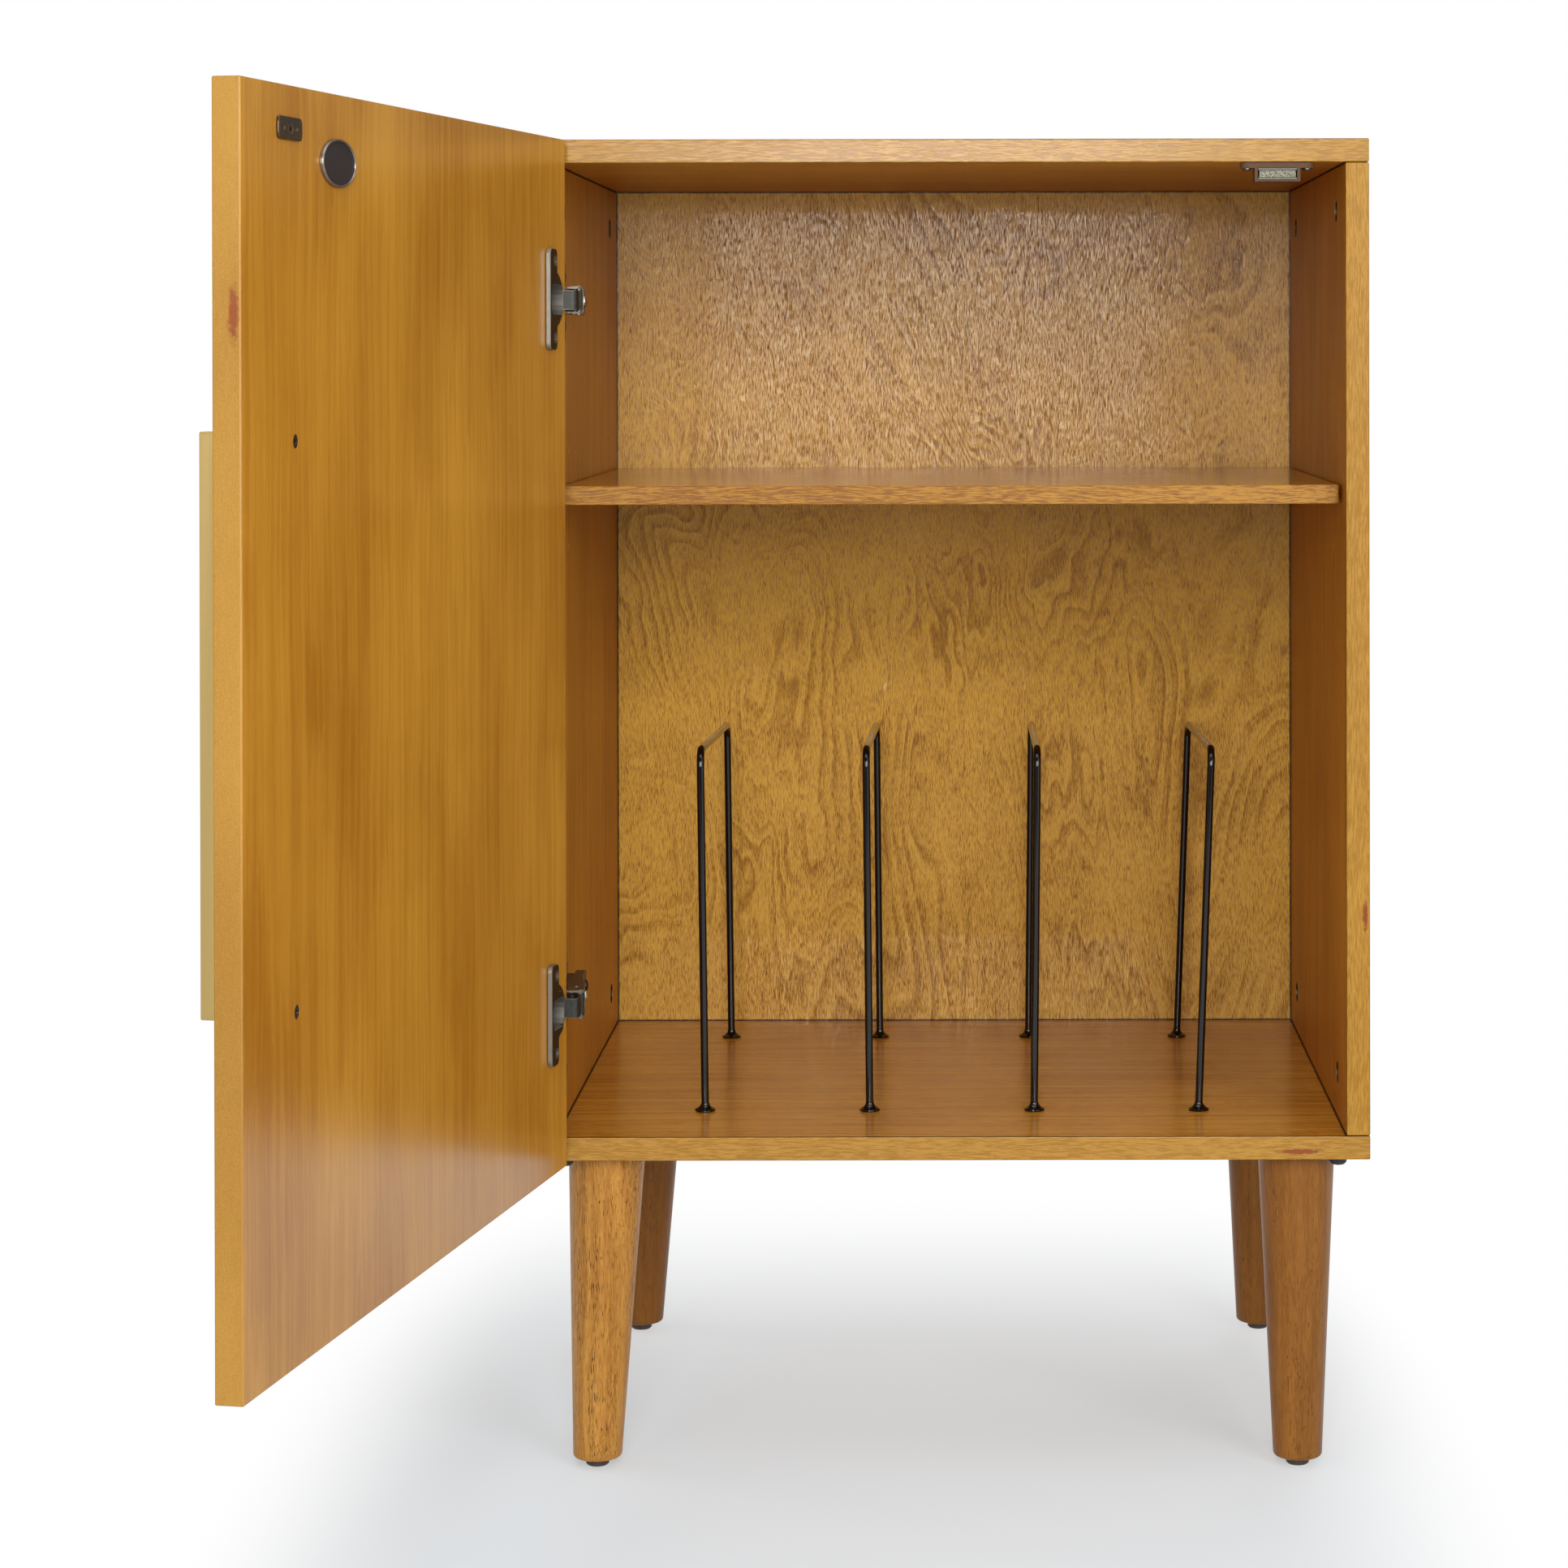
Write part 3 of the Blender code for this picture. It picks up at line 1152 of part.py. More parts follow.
def main():
    """Build the whole stand with its door open as at rest."""
    clear_scene()
    veneer = surface("oak_veneer", (175, 122, 58), 0.38)
    oak = surface("solid_oak", (160, 110, 58), 0.42)
    black = surface("gloss_black_wire", (14, 13, 13), 0.2)
    gold = surface("satin_gold", (205, 174, 110), 0.35, 1.0)
    dark = surface("dark_screw", (60, 52, 46), 0.4, 1.0)
    bronze = surface("dark_bronze", (84, 73, 58), 0.4, 1.0)
    chrome = surface("badge_chrome", (150, 148, 145), 0.2, 1.0)
    nickel = surface("aged_nickel", (120, 112, 100), 0.35, 1.0)
    steel = surface("bright_steel", (190, 186, 178), 0.3, 1.0)
    plastic = surface("brown_plastic", (102, 79, 60), 0.45)
    ferrite = surface("grey_ferrite", (120, 118, 106), 0.6)
    rubber = surface("black_rubber", (20, 20, 20), 0.6)
    pad = surface("brown_glide", (60, 38, 24), 0.4)

    cabinet = empty("cabinet")
    build_top(cabinet, veneer)
    build_bottom(cabinet, veneer)
    build_sides(cabinet, veneer)
    build_back(cabinet, veneer)
    build_shelf(cabinet, veneer)
    build_shelf_pins(cabinet, steel)
    build_dividers(cabinet, black)
    build_legs(cabinet, oak, steel, pad)
    build_bumpers(cabinet, rubber)
    build_catch(cabinet, plastic, ferrite, steel)

    axis = empty("door_axis", cabinet, DOOR_AXIS, -DOOR_OPEN_ANGLE)
    build_door(axis, veneer)
    build_handle(axis, gold, dark)
    build_strike(axis, bronze, steel)
    build_badge(axis, chrome)
    for name, level in HINGE_LEVELS.items():
        build_hinge(name, level, cabinet, axis, nickel, steel)
    centre_on_floor(cabinet)


main()
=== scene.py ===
"""Record player stand: finishes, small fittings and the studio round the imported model.

The sizes and colours that a user would change are in the property groups below, and each
operator makes one kind of piece. All lengths are metres, +Z is up, and the door is open at rest.
"""

import json
import math

import bmesh
import bpy
from bpy.props import FloatProperty, FloatVectorProperty, PointerProperty
from bpy.types import Operator, Panel, PropertyGroup
from mathutils import Matrix, Vector


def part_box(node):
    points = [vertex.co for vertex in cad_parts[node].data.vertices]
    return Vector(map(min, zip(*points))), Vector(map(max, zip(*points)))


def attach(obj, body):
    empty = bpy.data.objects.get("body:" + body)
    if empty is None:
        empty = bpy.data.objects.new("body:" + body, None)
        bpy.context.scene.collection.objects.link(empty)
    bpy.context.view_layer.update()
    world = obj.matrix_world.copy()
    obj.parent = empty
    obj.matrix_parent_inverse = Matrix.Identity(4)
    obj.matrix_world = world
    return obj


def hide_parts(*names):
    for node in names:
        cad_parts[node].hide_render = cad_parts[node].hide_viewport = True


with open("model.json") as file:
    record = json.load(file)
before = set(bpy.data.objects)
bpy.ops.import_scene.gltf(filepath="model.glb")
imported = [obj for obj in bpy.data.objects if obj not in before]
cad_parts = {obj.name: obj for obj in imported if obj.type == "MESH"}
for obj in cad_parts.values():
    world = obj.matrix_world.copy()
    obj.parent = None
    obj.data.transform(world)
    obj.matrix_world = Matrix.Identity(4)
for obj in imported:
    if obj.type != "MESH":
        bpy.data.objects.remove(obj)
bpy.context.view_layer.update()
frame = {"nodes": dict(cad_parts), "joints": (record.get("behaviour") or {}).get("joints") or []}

bl_info = {
    "name": "Record Player Stand",
    "version": (1, 0, 0),
    "blender": (4, 5, 0),
    "location": "View3D > Sidebar > Stand",
    "description": "Finishes, fittings and studio for a small record player stand",
    "category": "Object",
}

SWING = next(joint for joint in frame["joints"] if joint["name"] == "door_swing")
UP = Matrix.Identity(4)
DOWN = Matrix.Rotation(math.pi, 4, "X")
SIDEWAYS = Matrix.Rotation(math.pi / 2, 4, "Y")
DOOR = Matrix.Translation((*SWING["pos_m"][:2], 0)) @ Matrix.Rotation(
    math.radians(-SWING["range_deg"][1]), 4, "Z"
)
OUT_OF_DOOR = DOOR @ Matrix.Rotation(-math.pi / 2, 4, "X")
CORNERS = ("front_left", "front_right", "rear_left", "rear_right")
LEVELS = ("upper", "lower")

# Lengths and shares that a user has no reason to change
FAR = 9.0
ARRIS = 0.0003
GLIDE_PACKED = 0.0037
NAIL = 0.0012
LEG_CHAMFER = 0.0005
CAM_FROM_JOINT = 0.029
CAM_FROM_FRONT = 0.060
CAM_FROM_REAR = 0.058
CAM_SLOT = 0.0014
CAM_SLOT_DEPTH = 0.0022
PEG_DEPTH = 0.008
WIRE_LEANS = (-0.7, -0.5, 0.6, 2.2)
COLLAR_SIDES = 36
COLLAR_LIP = 0.0014
STRIKE_CORNER = 0.0034
DIMPLE_OUT = 0.0085
BADGE_SIDES = 96
HANDLE_CLEAR = 0.0002
HEAD_RIM = 0.0001
HEAD_CHAMFER = 0.00012
SHANK = 0.55
RECESS_TAPER = 0.55
CUTTER_PROUD = 0.0001
SHARP_FROM = math.radians(35)
ROUNDED_FROM = math.radians(40)

# How finely each layer of texture is squeezed across and along its grain
CLOUD_GRAIN = (11, 11, 5)
LINE_GRAIN = (190, 190, 2.6)
STROKE_GRAIN = (1150, 1150, 95)
SPECK_GRAIN = (2500, 2500, 150)
CLUSTER_GRAIN = (120, 120, 7)
RING_FIELD = (6.6, 6.6, 2.3)
FIGURE_STROKES = (2300, 2300, 190)
SAND = 1500.0
SCRATCHES = (2600, 900, 300)
BRUSHING = (2200, 2200, 60)

# Each lamp's place, the point it looks at, its width and its height
LAMPS = {
    "front": ((0.02, -2.75, 1.2), (0.03, 0.2, 0.9), 0.75, 1.3),
    "left": ((-1.9, -2.9, 1.2), (-0.25, -0.3, 0.8), 0.6, 0.5),
    "side": ((1.6, -2.4, 1.3), (-0.1, 0.0, 0.45), 1.4, 1.4),
    "rear": ((1.0, 3.0, 1.7), (0.1, 0.4, 0.5), 1.6, 1.6),
    "rear_left": ((-2.9, 1.1, 1.5), (-0.2, 0.2, 0.5), 1.4, 1.4),
    "top": ((-0.1, -0.2, 2.7), (0.0, 0.15, 0.3), 2.2, 2.0),
}

# Each dark card's middle and half of its width
CARDS = {"rear_card": ((1.3, 1.9, 2.08), 1.2), "front_card": ((0.0, -3.6, 2.45), 2.4)}


# Sizes and colours

def colour(label, note, red, green, blue):
    """A display-scale colour property, given as 0 to 255."""
    return FloatVectorProperty(
        name=label, description=note, subtype="COLOR_GAMMA", size=3, min=0, max=1,
        default=(red / 255, green / 255, blue / 255),
    )


def length(label, note, metres):
    """A length property in metres."""
    return FloatProperty(name=label, description=note, default=metres, unit="LENGTH", precision=5)


def amount(label, note, value, high=1.0):
    """A plain number property."""
    return FloatProperty(name=label, description=note, default=value, min=0, soft_max=high)


class StandColours(PropertyGroup):
    """Colours of the stand's finishes."""

    veneer: colour("Veneer", "Honey lacquer over the boards' paler wood", 206, 146, 50)
    veneer_deep: colour("Veneer, deep", "Honey lacquer over darker grain", 166, 105, 24)
    side: colour("Side board", "Paler grain inside the cabinet", 194, 128, 40)
    side_deep: colour("Side board, deep", "Darker grain inside the cabinet", 156, 92, 18)
    back: colour("Back board", "Paler grain of the back board", 206, 160, 66)
    back_deep: colour("Back board, deep", "Darker grain of the back board", 134, 86, 14)
    edge: colour("Board edge", "The boards' narrow edges", 177, 130, 49)
    edge_deep: colour("Board edge, deep", "Darker flecks of the boards' edges", 152, 106, 26)
    shelf_edge: colour("Shelf edge", "Front edge of the shelf", 173, 122, 34)
    shelf_edge_deep: colour("Shelf edge, deep", "Darker flecks of the shelf's edge", 132, 82, 14)
    # One leg wood in two tones: the front left leg's pair is painted light, the other legs' darker
    # pair painted shade, for how the light falls on them.
    leg: colour("Leg", "Paler wood of the front left leg", 200, 144, 66)
    leg_deep: colour("Leg, deep", "Darker wood of the front left leg", 146, 90, 26)
    leg_dark: colour("Darker leg", "Paler wood of the other legs", 152, 98, 37)
    leg_dark_deep: colour("Darker leg, deep", "Darker wood of the other legs", 118, 72, 20)
    pore: colour("Pore", "Open pores and short dark flecks", 74, 40, 14)
    joint: colour("Joint line", "Dark lines where two boards meet", 30, 13, 4)
    knot: colour("Knot", "Small red-brown knots on the board edges", 134, 66, 18)
    wire: colour("Wire", "Gloss black coat of the dividers", 8, 7, 7)
    gold: colour("Handle", "Satin gold of the handle", 192, 165, 106)
    bronze: colour("Strike plate", "Dark bronze of the strike plate", 92, 78, 60)
    nickel: colour("Hinge metal", "Aged nickel of the hinges", 104, 94, 80)
    nickel_deep: colour("Hinge metal, dark", "Darkened faces of the hinges", 72, 58, 46)
    link: colour("Hinge link", "Dark grey steel of the hinge links", 62, 61, 57)
    pole: colour("Catch pole", "Dull steel of the pole plates and cup screws", 104, 100, 90)
    # Besides rubbed wear, this colour is painted on the hinge flanges' side faces as a highlight.
    flange: colour("Hinge flange edge", "Rubbed bright edge of the flanges", 150, 147, 138)
    steel: colour("Steel", "Bright steel of pins, bolts and rubbed edges", 190, 186, 176)
    # Also the cams' colour: painted shade that makes them read as dark slots in their bores.
    dark_screw: colour("Dark screw", "Blackened screws and cams", 66, 56, 46)
    plastic: colour("Catch", "Brown plastic of the catch", 88, 62, 44)
    ferrite: colour("Magnet", "Grey ferrite of the magnet", 132, 130, 112)
    chrome: colour("Badge rim", "Bright rim of the badge", 140, 130, 118)
    enamel: colour("Badge face", "Black face of the badge", 40, 36, 38)
    rubber: colour("Bumper", "Black rubber bumpers", 24, 23, 22)
    glide: colour("Glide", "Brown glides under the legs", 64, 46, 36)
    floor: colour("Floor", "Studio floor near the stand", 226, 235, 243)


class StandSizes(PropertyGroup):
    """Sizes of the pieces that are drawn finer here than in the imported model."""

    wire: length("Wire", "Diameter of the divider wire", 0.005)
    wire_bend: length("Wire bend", "Middle radius of the wire's two bends", 0.011)
    wire_front: length("Wire height, front", "Top of the wire over the cabinet floor", 0.2395)
    wire_rear: length("Wire height, rear", "Top of the wire at its rear end", 0.230)
    wire_pitch: length("Wire pitch", "Distance between two wires", 0.108)
    wire_depth: length("Wire depth", "First wire foot behind the front edge", 0.080)
    wire_span: length("Wire span", "Distance between the two feet of a wire", 0.255)
    collar: length("Collar", "Diameter of the collar at a wire's foot", 0.0136)
    collar_height: length("Collar height", "How far the collar climbs up the wire", 0.006)
    peg: length("Peg", "Diameter of the wire's end in its hole", 0.0046)
    leg_top: length("Leg top", "Diameter of a leg under the cabinet", 0.0495)
    leg_foot: length("Leg foot", "Diameter of a leg at its foot", 0.0316)
    leg_round: length("Leg rounding", "Radius of the leg's lower edge", 0.0025)
    glide: length("Glide", "Height of a glide under its leg", 0.0050)
    cross_width: length("Recess slot", "Width of a slot in a screw's recess", 0.0009)
    cam: length("Cam", "Diameter of a corner joint's cam", 0.0146)
    cam_sink: length("Cam depth", "How far a cam lies below the board's face", 0.0012)
    cam_thickness: length("Cam thickness", "How deep the cam's drawn face goes", 0.004)
    badge_wide: length("Badge width", "Width of the oval badge", 0.0483)
    badge_from_edge: length("Badge place", "Its middle from the door's free edge", 0.1292)
    badge_rim: length("Badge rim", "Width of the badge's rim", 0.0013)
    strike_wide: length("Strike width", "Width of the strike plate", 0.0322)
    strike_tall: length("Strike height", "Height of the strike plate", 0.0116)
    strike_from_edge: length("Strike place", "Its middle from the door's free edge", 0.0618)
    strike_dimple: length("Strike dimple", "Diameter of the dimples by its screw", 0.0026)
    handle_bar: length("Handle bar", "Thickness of the handle's square bar", 0.010)
    handle_inset: length("Handle inset", "How far it stays inside its packed box", 0.00004)
    handle_edge: length("Handle edge", "Rounding of the handle's edges", 0.0009)


class StudioSettings(PropertyGroup):
    """Lamps and backdrop."""

    front: amount("Front", "Watts of the tall soft lamp behind the camera", 55, 300)
    left: amount("Left", "Watts of the soft lamp on the left", 6, 300)
    side: amount("Side", "Watts of the soft lamp on the right", 30, 300)
    rear: amount("Rear", "Watts of the soft lamp behind the stand", 14, 300)
    rear_left: amount("Rear left", "Watts of the soft lamp beside the open door", 10, 300)
    top: amount("Top", "Watts of the soft lamp overhead", 22, 300)
    world: amount("World", "Level of the even light from all round", 0.12)
    shadow_lift: amount("Shadow lift", "Share of plain light in the floor's shadow", 0.38)
    white_from: length("White from", "Where the floor turns whiter", 0.0)
    white_by: length("White by", "Where the floor is plain white", 0.17)


def sizes():
    """The size settings."""
    return bpy.context.scene.stand_sizes


def rgba(name, share=1.0):
    """One of the colour settings, or a share of it, in linear light with full opacity."""
    values = []
    for value in getattr(bpy.context.scene.stand_colours, name):
        value = value / 12.92 if value <= 0.04045 else ((value + 0.055) / 1.055) ** 2.4
        values.append(min(value * share, 1))
    return (*values, 1)


# Shader wiring

class Wiring:
    """Short ways to add and join the nodes of one tree."""

    def __init__(self, tree):
        self.tree = tree

    def add(self, kind, **settings):
        """A new shader node with these settings."""
        node = self.tree.nodes.new("ShaderNode" + kind)
        for key, value in settings.items():
            setattr(node, key, value)
        return node

    def feed(self, socket, value):
        """Join a socket to another node's output, or set its value."""
        if isinstance(value, bpy.types.NodeSocket):
            self.tree.links.new(value, socket)
        else:
            socket.default_value = value

    def fill(self, node, *values, **named):
        """Feed a node's inputs in order or by name, and give its outputs."""
        for socket, value in zip(node.inputs, values):
            self.feed(socket, value)
        for key, value in named.items():
            self.feed(node.inputs[key.replace("_", " ").capitalize()], value)
        return node.outputs

    def sum(self, operation, *values, clamp=False):
        """One step of arithmetic."""
        return self.fill(self.add("Math", operation=operation, use_clamp=clamp), *values)[0]

    def times(self, first, second):
        """One value times another."""
        return self.sum("MULTIPLY", first, second)

    def less(self, first, second=0.5):
        """One value less another, or less a half to centre it on zero."""
        return self.sum("SUBTRACT", first, second)

    def onto(self, first, second, base):
        """The product of two values on top of a base."""
        return self.sum("MULTIPLY_ADD", first, second, base)

    def vector(self, operation, *values):
        """One step of vector arithmetic."""
        return self.fill(self.add("VectorMath", operation=operation), *values)["Vector"]

    def stretch(self, vector, by):
        """A vector times another, part by part."""
        return self.vector("MULTIPLY", vector, by)

    def scaled(self, vector, by):
        """A vector or a colour times one number."""
        return self.fill(self.add("VectorMath", operation="SCALE"), vector, scale=by)["Vector"]

    def measure(self, operation, *values):
        """A vector step that gives one number."""
        return self.fill(self.add("VectorMath", operation=operation), *values)["Value"]

    def noise_parts(self, vector, scale, detail=2.0, roughness=0.5, distortion=0.0):
        """Noise over the vector: its value and its colour."""
        return self.fill(self.add("TexNoise"), vector=vector, scale=scale, detail=detail,
                         roughness=roughness, distortion=distortion)

    def noise(self, *values):
        """Noise from 0 to 1 over the vector."""
        return self.noise_parts(*values)[0]

    def ease(self, value, low, high, first=0.0, last=1.0):
        """A smooth step of the value between two limits."""
        node = self.add("MapRange", interpolation_type="SMOOTHSTEP")
        return self.fill(node, value, low, high, first, last)[0]

    def mix(self, share, first, second):
        """A blend of two colours."""
        node = self.add("Mix", data_type="RGBA")
        for index, value in ((0, share), (6, first), (7, second)):
            self.feed(node.inputs[index], value)
        return node.outputs[2]

    def group(self, name, **values):
        """Outputs of a placed node group; underscores in the names stand for spaces."""
        return self.fill(self.add("Group", node_tree=bpy.data.node_groups[name]), **values)

    def seen_directly(self):
        """One for rays from the camera, from gloss and through glass, else zero."""
        rays = self.add("LightPath").outputs
        seen = self.sum("MAXIMUM", rays["Is Camera Ray"], rays["Is Glossy Ray"])
        return self.sum("MAXIMUM", seen, rays["Is Transmission Ray"])


class Surface(Wiring):
    """A new material's wiring, with its shader and its object coordinates."""

    def __init__(self, name):
        self.material = bpy.data.materials.new(name)
        self.material.use_nodes = True
        super().__init__(self.material.node_tree)
        self.shader = self.tree.nodes["Principled BSDF"]
        self.spot = self.add("TexCoord").outputs
        self.place = self.spot["Object"]

    def paint(self, tint, rough, shine=0.5, metallic=0.0):
        """Set the colour, the roughness, the shine and the metal."""
        names = ("Base Color", "Roughness", "Specular IOR Level", "Metallic")
        for name, value in zip(names, (tint, rough, shine, metallic)):
            self.feed(self.shader.inputs[name], value)

    def bump(self, height, distance, strength):
        """Let a height shape the normal."""
        bumped = self.fill(self.add("Bump"), height=height, distance=distance, strength=strength)
        self.feed(self.shader.inputs["Normal"], bumped[0])

    def facing(self, direction):
        """How far the surface faces along a direction."""
        return self.measure("DOT_PRODUCT", self.spot["Normal"], tuple(direction))

    def grain(self, along, offset):
        """Object coordinates turned so that the grain runs along Z."""
        node = self.add("Mapping")
        node.inputs["Location"].default_value = (offset, 0.37 * offset, 1.7 * offset)
        if along == "X":
            node.inputs["Rotation"].default_value = (0, math.pi / 2, 0)
        return self.fill(node, self.place)[0]

    def lacquer(self, gloss, haze):
        """Roughness and ripple of a sprayed coat."""
        return self.group("Lacquer haze", vector=self.place, gloss=gloss, haze=haze)

    def joint_lines(self, tint, borders, flat=1.0):
        """Darken a board's colour along borders, given as a low and a high corner."""
        seam = self.group("Joint line", vector=self.place, low=borders[0], high=borders[1],
                          width=0.0011)
        return self.mix(self.times(seam["Mask"], flat), tint, rgba("joint"))

    def rubbed(self, metal, bright, wear, dullness, edge_width):
        """Colour, roughness and height of worn metal."""
        return self.group("Rubbed metal", vector=self.place, metal=rgba(metal),
                          bright=rgba(bright), wear=wear, edge_width=edge_width,
                          dullness=dullness)


def new_group(name, inputs, outputs):
    """Wiring and ends of a node group; v, f or c before a socket's name is its kind."""
    tree = bpy.data.node_groups.new(name, "ShaderNodeTree")
    kinds = {"v": "NodeSocketVector", "f": "NodeSocketFloat", "c": "NodeSocketColor"}
    for way, sockets in (("INPUT", inputs), ("OUTPUT", outputs)):
        for socket in sockets.split(", "):
            kind, label = socket.split(" ", 1)
            tree.interface.new_socket(name=label, in_out=way, socket_type=kinds[kind])
    source = tree.nodes.new("NodeGroupInput").outputs
    target = tree.nodes.new("NodeGroupOutput").inputs
    return Wiring(tree), source, target


def make_grain_group():
    """Board wood along the vector's Z; its edges, where Flat is 0, show sand-fine end grain."""
    net, given, result = new_group(
        "Board wood",
        "v Vector, f Flat, c Pale, c Deep, c Edge pale, c Edge deep, c Pore, f Clouds, "
        "f Lines, f Strokes, f Edge strokes, f Pores",
        "c Color, f Height",
    )
    vector, flat = given["Vector"], given["Flat"]
    edge = net.less(1.0, flat)
    clouds = net.noise_parts(net.stretch(vector, CLOUD_GRAIN), 1.0, 3.0)
    flow = net.vector("ADD", vector, net.stretch(clouds["Color"], (0.02, 0.02, 0.0)))
    lines = net.noise(net.stretch(flow, LINE_GRAIN), 1.0, 3.0, 0.65)
    lines = net.times(net.less(net.ease(lines, 0.25, 0.75)), flat)
    strokes = net.noise(net.stretch(flow, STROKE_GRAIN), 1.0, 2.0, 0.6)
    share = net.onto(edge, given["Edge strokes"], net.times(flat, given["Strokes"]))
    strokes = net.times(net.less(net.ease(strokes, 0.34, 0.66)), share)
    sand = net.noise(vector, SAND, 2.0, 0.6)
    sand = net.times(net.less(net.ease(sand, 0.25, 0.75)), edge)
    tone = net.onto(net.less(clouds[0]), given["Clouds"], strokes)
    tone = net.onto(sand, 0.7, net.onto(lines, given["Lines"], tone))
    tone = net.sum("ADD", tone, 0.5, clamp=True)
    pale = net.mix(flat, given["Edge pale"], given["Pale"])
    deep = net.mix(flat, given["Edge deep"], given["Deep"])
    specks = net.noise(net.stretch(flow, SPECK_GRAIN), 1.0, 0.5)
    clusters = net.less(net.noise(net.stretch(flow, CLUSTER_GRAIN), 1.0, 1.0))
    limit = net.onto(given["Pores"], -0.6, 1.15)
    specks = net.ease(net.onto(clusters, 0.35, specks), limit, net.sum("ADD", limit, 0.06))
    net.feed(result["Color"], net.mix(specks, net.mix(tone, deep, pale), given["Pore"]))
    net.feed(result["Height"], net.less(net.sum("ADD", strokes, sand), specks))


def make_figure_group():
    """Rotary-cut veneer: growth rings as wandering contours, and fine upright strokes."""
    net, given, result = new_group(
        "Rotary figure", "v Vector, c Pale, c Deep, f Rings, f Ring strength, f Strokes",
        "c Color, f Height, f Ring",
    )
    vector = given["Vector"]
    field = net.noise_parts(net.stretch(vector, RING_FIELD), 1.0, 4.0, 0.44, 0.5)
    contours = net.times(field[0], given["Rings"])
    ring = 0.0
    for repeat, share in ((1.0, 1.0), (2.7, 0.4)):
        phase = net.sum("FRACT", net.times(contours, repeat))
        late = net.less(net.ease(phase, 0.25, 0.86), net.ease(phase, 0.86, 1.0))
        early = net.times(net.ease(phase, 0.24, 0.0), net.ease(phase, 0.0, 0.05))
        band = net.onto(early, 0.4, net.times(late, -0.9))
        fading = net.ease(net.noise(vector, 13.0 * repeat, 2.0), 0.36, 0.64, 0.05, share)
        ring = net.onto(band, fading, ring)
    flow = net.vector("ADD", vector, net.scaled(field["Color"], 0.02))
    strokes = net.noise(net.stretch(flow, FIGURE_STROKES), 1.0, 1.5, 0.65)
    strokes = net.less(net.ease(strokes, 0.30, 0.60))
    mottle = net.sum("ADD", net.noise(vector, SAND, 1.0), net.noise(vector, 22.0, 3.0, 0.6))
    tone = net.onto(strokes, given["Strokes"], net.times(ring, given["Ring strength"]))
    tone = net.onto(net.less(mottle, 1.0), 0.6, tone)
    tone = net.sum("ADD", tone, 0.62, clamp=True)
    net.feed(result["Color"], net.mix(tone, given["Deep"], given["Pale"]))
    net.feed(result["Height"], net.onto(ring, 0.4, strokes))
    net.feed(result["Ring"], strokes)


def make_lacquer_group():
    """Roughness of the sprayed lacquer, with slow haze and fine rubbing."""
    net, given, result = new_group(
        "Lacquer haze", "v Vector, f Gloss, f Haze", "f Roughness, f Ripple"
    )
    slow = net.less(net.noise(given["Vector"], 14.0, 3.0, 0.6))
    fine = net.less(net.noise(given["Vector"], 260.0, 2.0, 0.6))
    spread = net.times(net.onto(fine, 0.6, slow), given["Haze"])
    rough = net.sum("ADD", net.less(1.0, given["Gloss"]), spread, clamp=True)
    net.feed(result["Roughness"], rough)
    net.feed(result["Ripple"], net.noise(given["Vector"], 90.0, 1.0, 0.5))


def make_knot_group():
    """Mask of one small slanted knot."""
    net, given, result = new_group("Knot mark", "v Vector, v Centre, v Reach", "f Mask")
    away = net.vector("SUBTRACT", given["Vector"], given["Centre"])
    away = net.measure("LENGTH", net.vector("DIVIDE", away, given["Reach"]))
    ragged = net.less(net.noise(given["Vector"], 320.0, 3.0, 0.6))
    net.feed(result["Mask"], net.ease(net.onto(ragged, 1.1, away), 0.45, 1.05, 1.0, 0.0))


def make_seam_group():
    """Mask of the dark joint line along a board's borders; borders far away draw none."""
    net, given, result = new_group("Joint line", "v Vector, v Low, v High, f Width", "f Mask")
    near = net.vector("MINIMUM", net.vector("SUBTRACT", given["Vector"], given["Low"]),
                      net.vector("SUBTRACT", given["High"], given["Vector"]))
    parts = net.fill(net.add("SeparateXYZ"), near)
    least = net.sum("MINIMUM", net.sum("MINIMUM", parts[0], parts[1]), parts[2])
    ragged = net.less(net.noise(given["Vector"], 220.0, 3.0, 0.6))
    least = net.sum("DIVIDE", net.onto(ragged, -0.0010, least), given["Width"])
    net.feed(result["Mask"], net.ease(least, 0.5, 1.3, 0.92, 0.0))


def make_wear_group():
    """Worn metal: rubbed bright edges, fine scratches and dull spots."""
    net, given, result = new_group(
        "Rubbed metal", "v Vector, c Metal, c Bright, f Wear, f Edge width, f Dullness",
        "c Color, f Roughness, f Height",
    )
    rounded = net.fill(net.add("Bevel", samples=4), given["Edge width"])
    plain = net.add("NewGeometry").outputs["Normal"]
    edges = net.ease(net.measure("DOT_PRODUCT", rounded[0], plain), 0.90, 0.995, 1.0, 0.0)
    patches = net.noise(given["Vector"], 420.0, 3.0, 0.65)
    scratches = net.noise(net.stretch(given["Vector"], SCRATCHES), 1.0, 2.0, 0.6, 0.8)
    scratches = net.ease(scratches, 0.66, 0.74)
    rub = net.times(edges, net.ease(patches, 0.22, 0.58))
    rub = net.sum("MULTIPLY", net.onto(scratches, 0.35, rub), given["Wear"], clamp=True)
    toned = net.scaled(given["Metal"], net.ease(patches, 0.25, 0.75, 0.82, 1.12))
    rough = net.onto(net.less(patches), 0.22, given["Dullness"])
    rough = net.sum("MULTIPLY_ADD", rub, -0.12, rough, clamp=True)
    net.feed(result["Color"], net.mix(rub, toned, given["Bright"]))
    net.feed(result["Roughness"], rough)
    net.feed(result["Height"], net.times(net.less(patches, scratches), 0.5))


# Materials

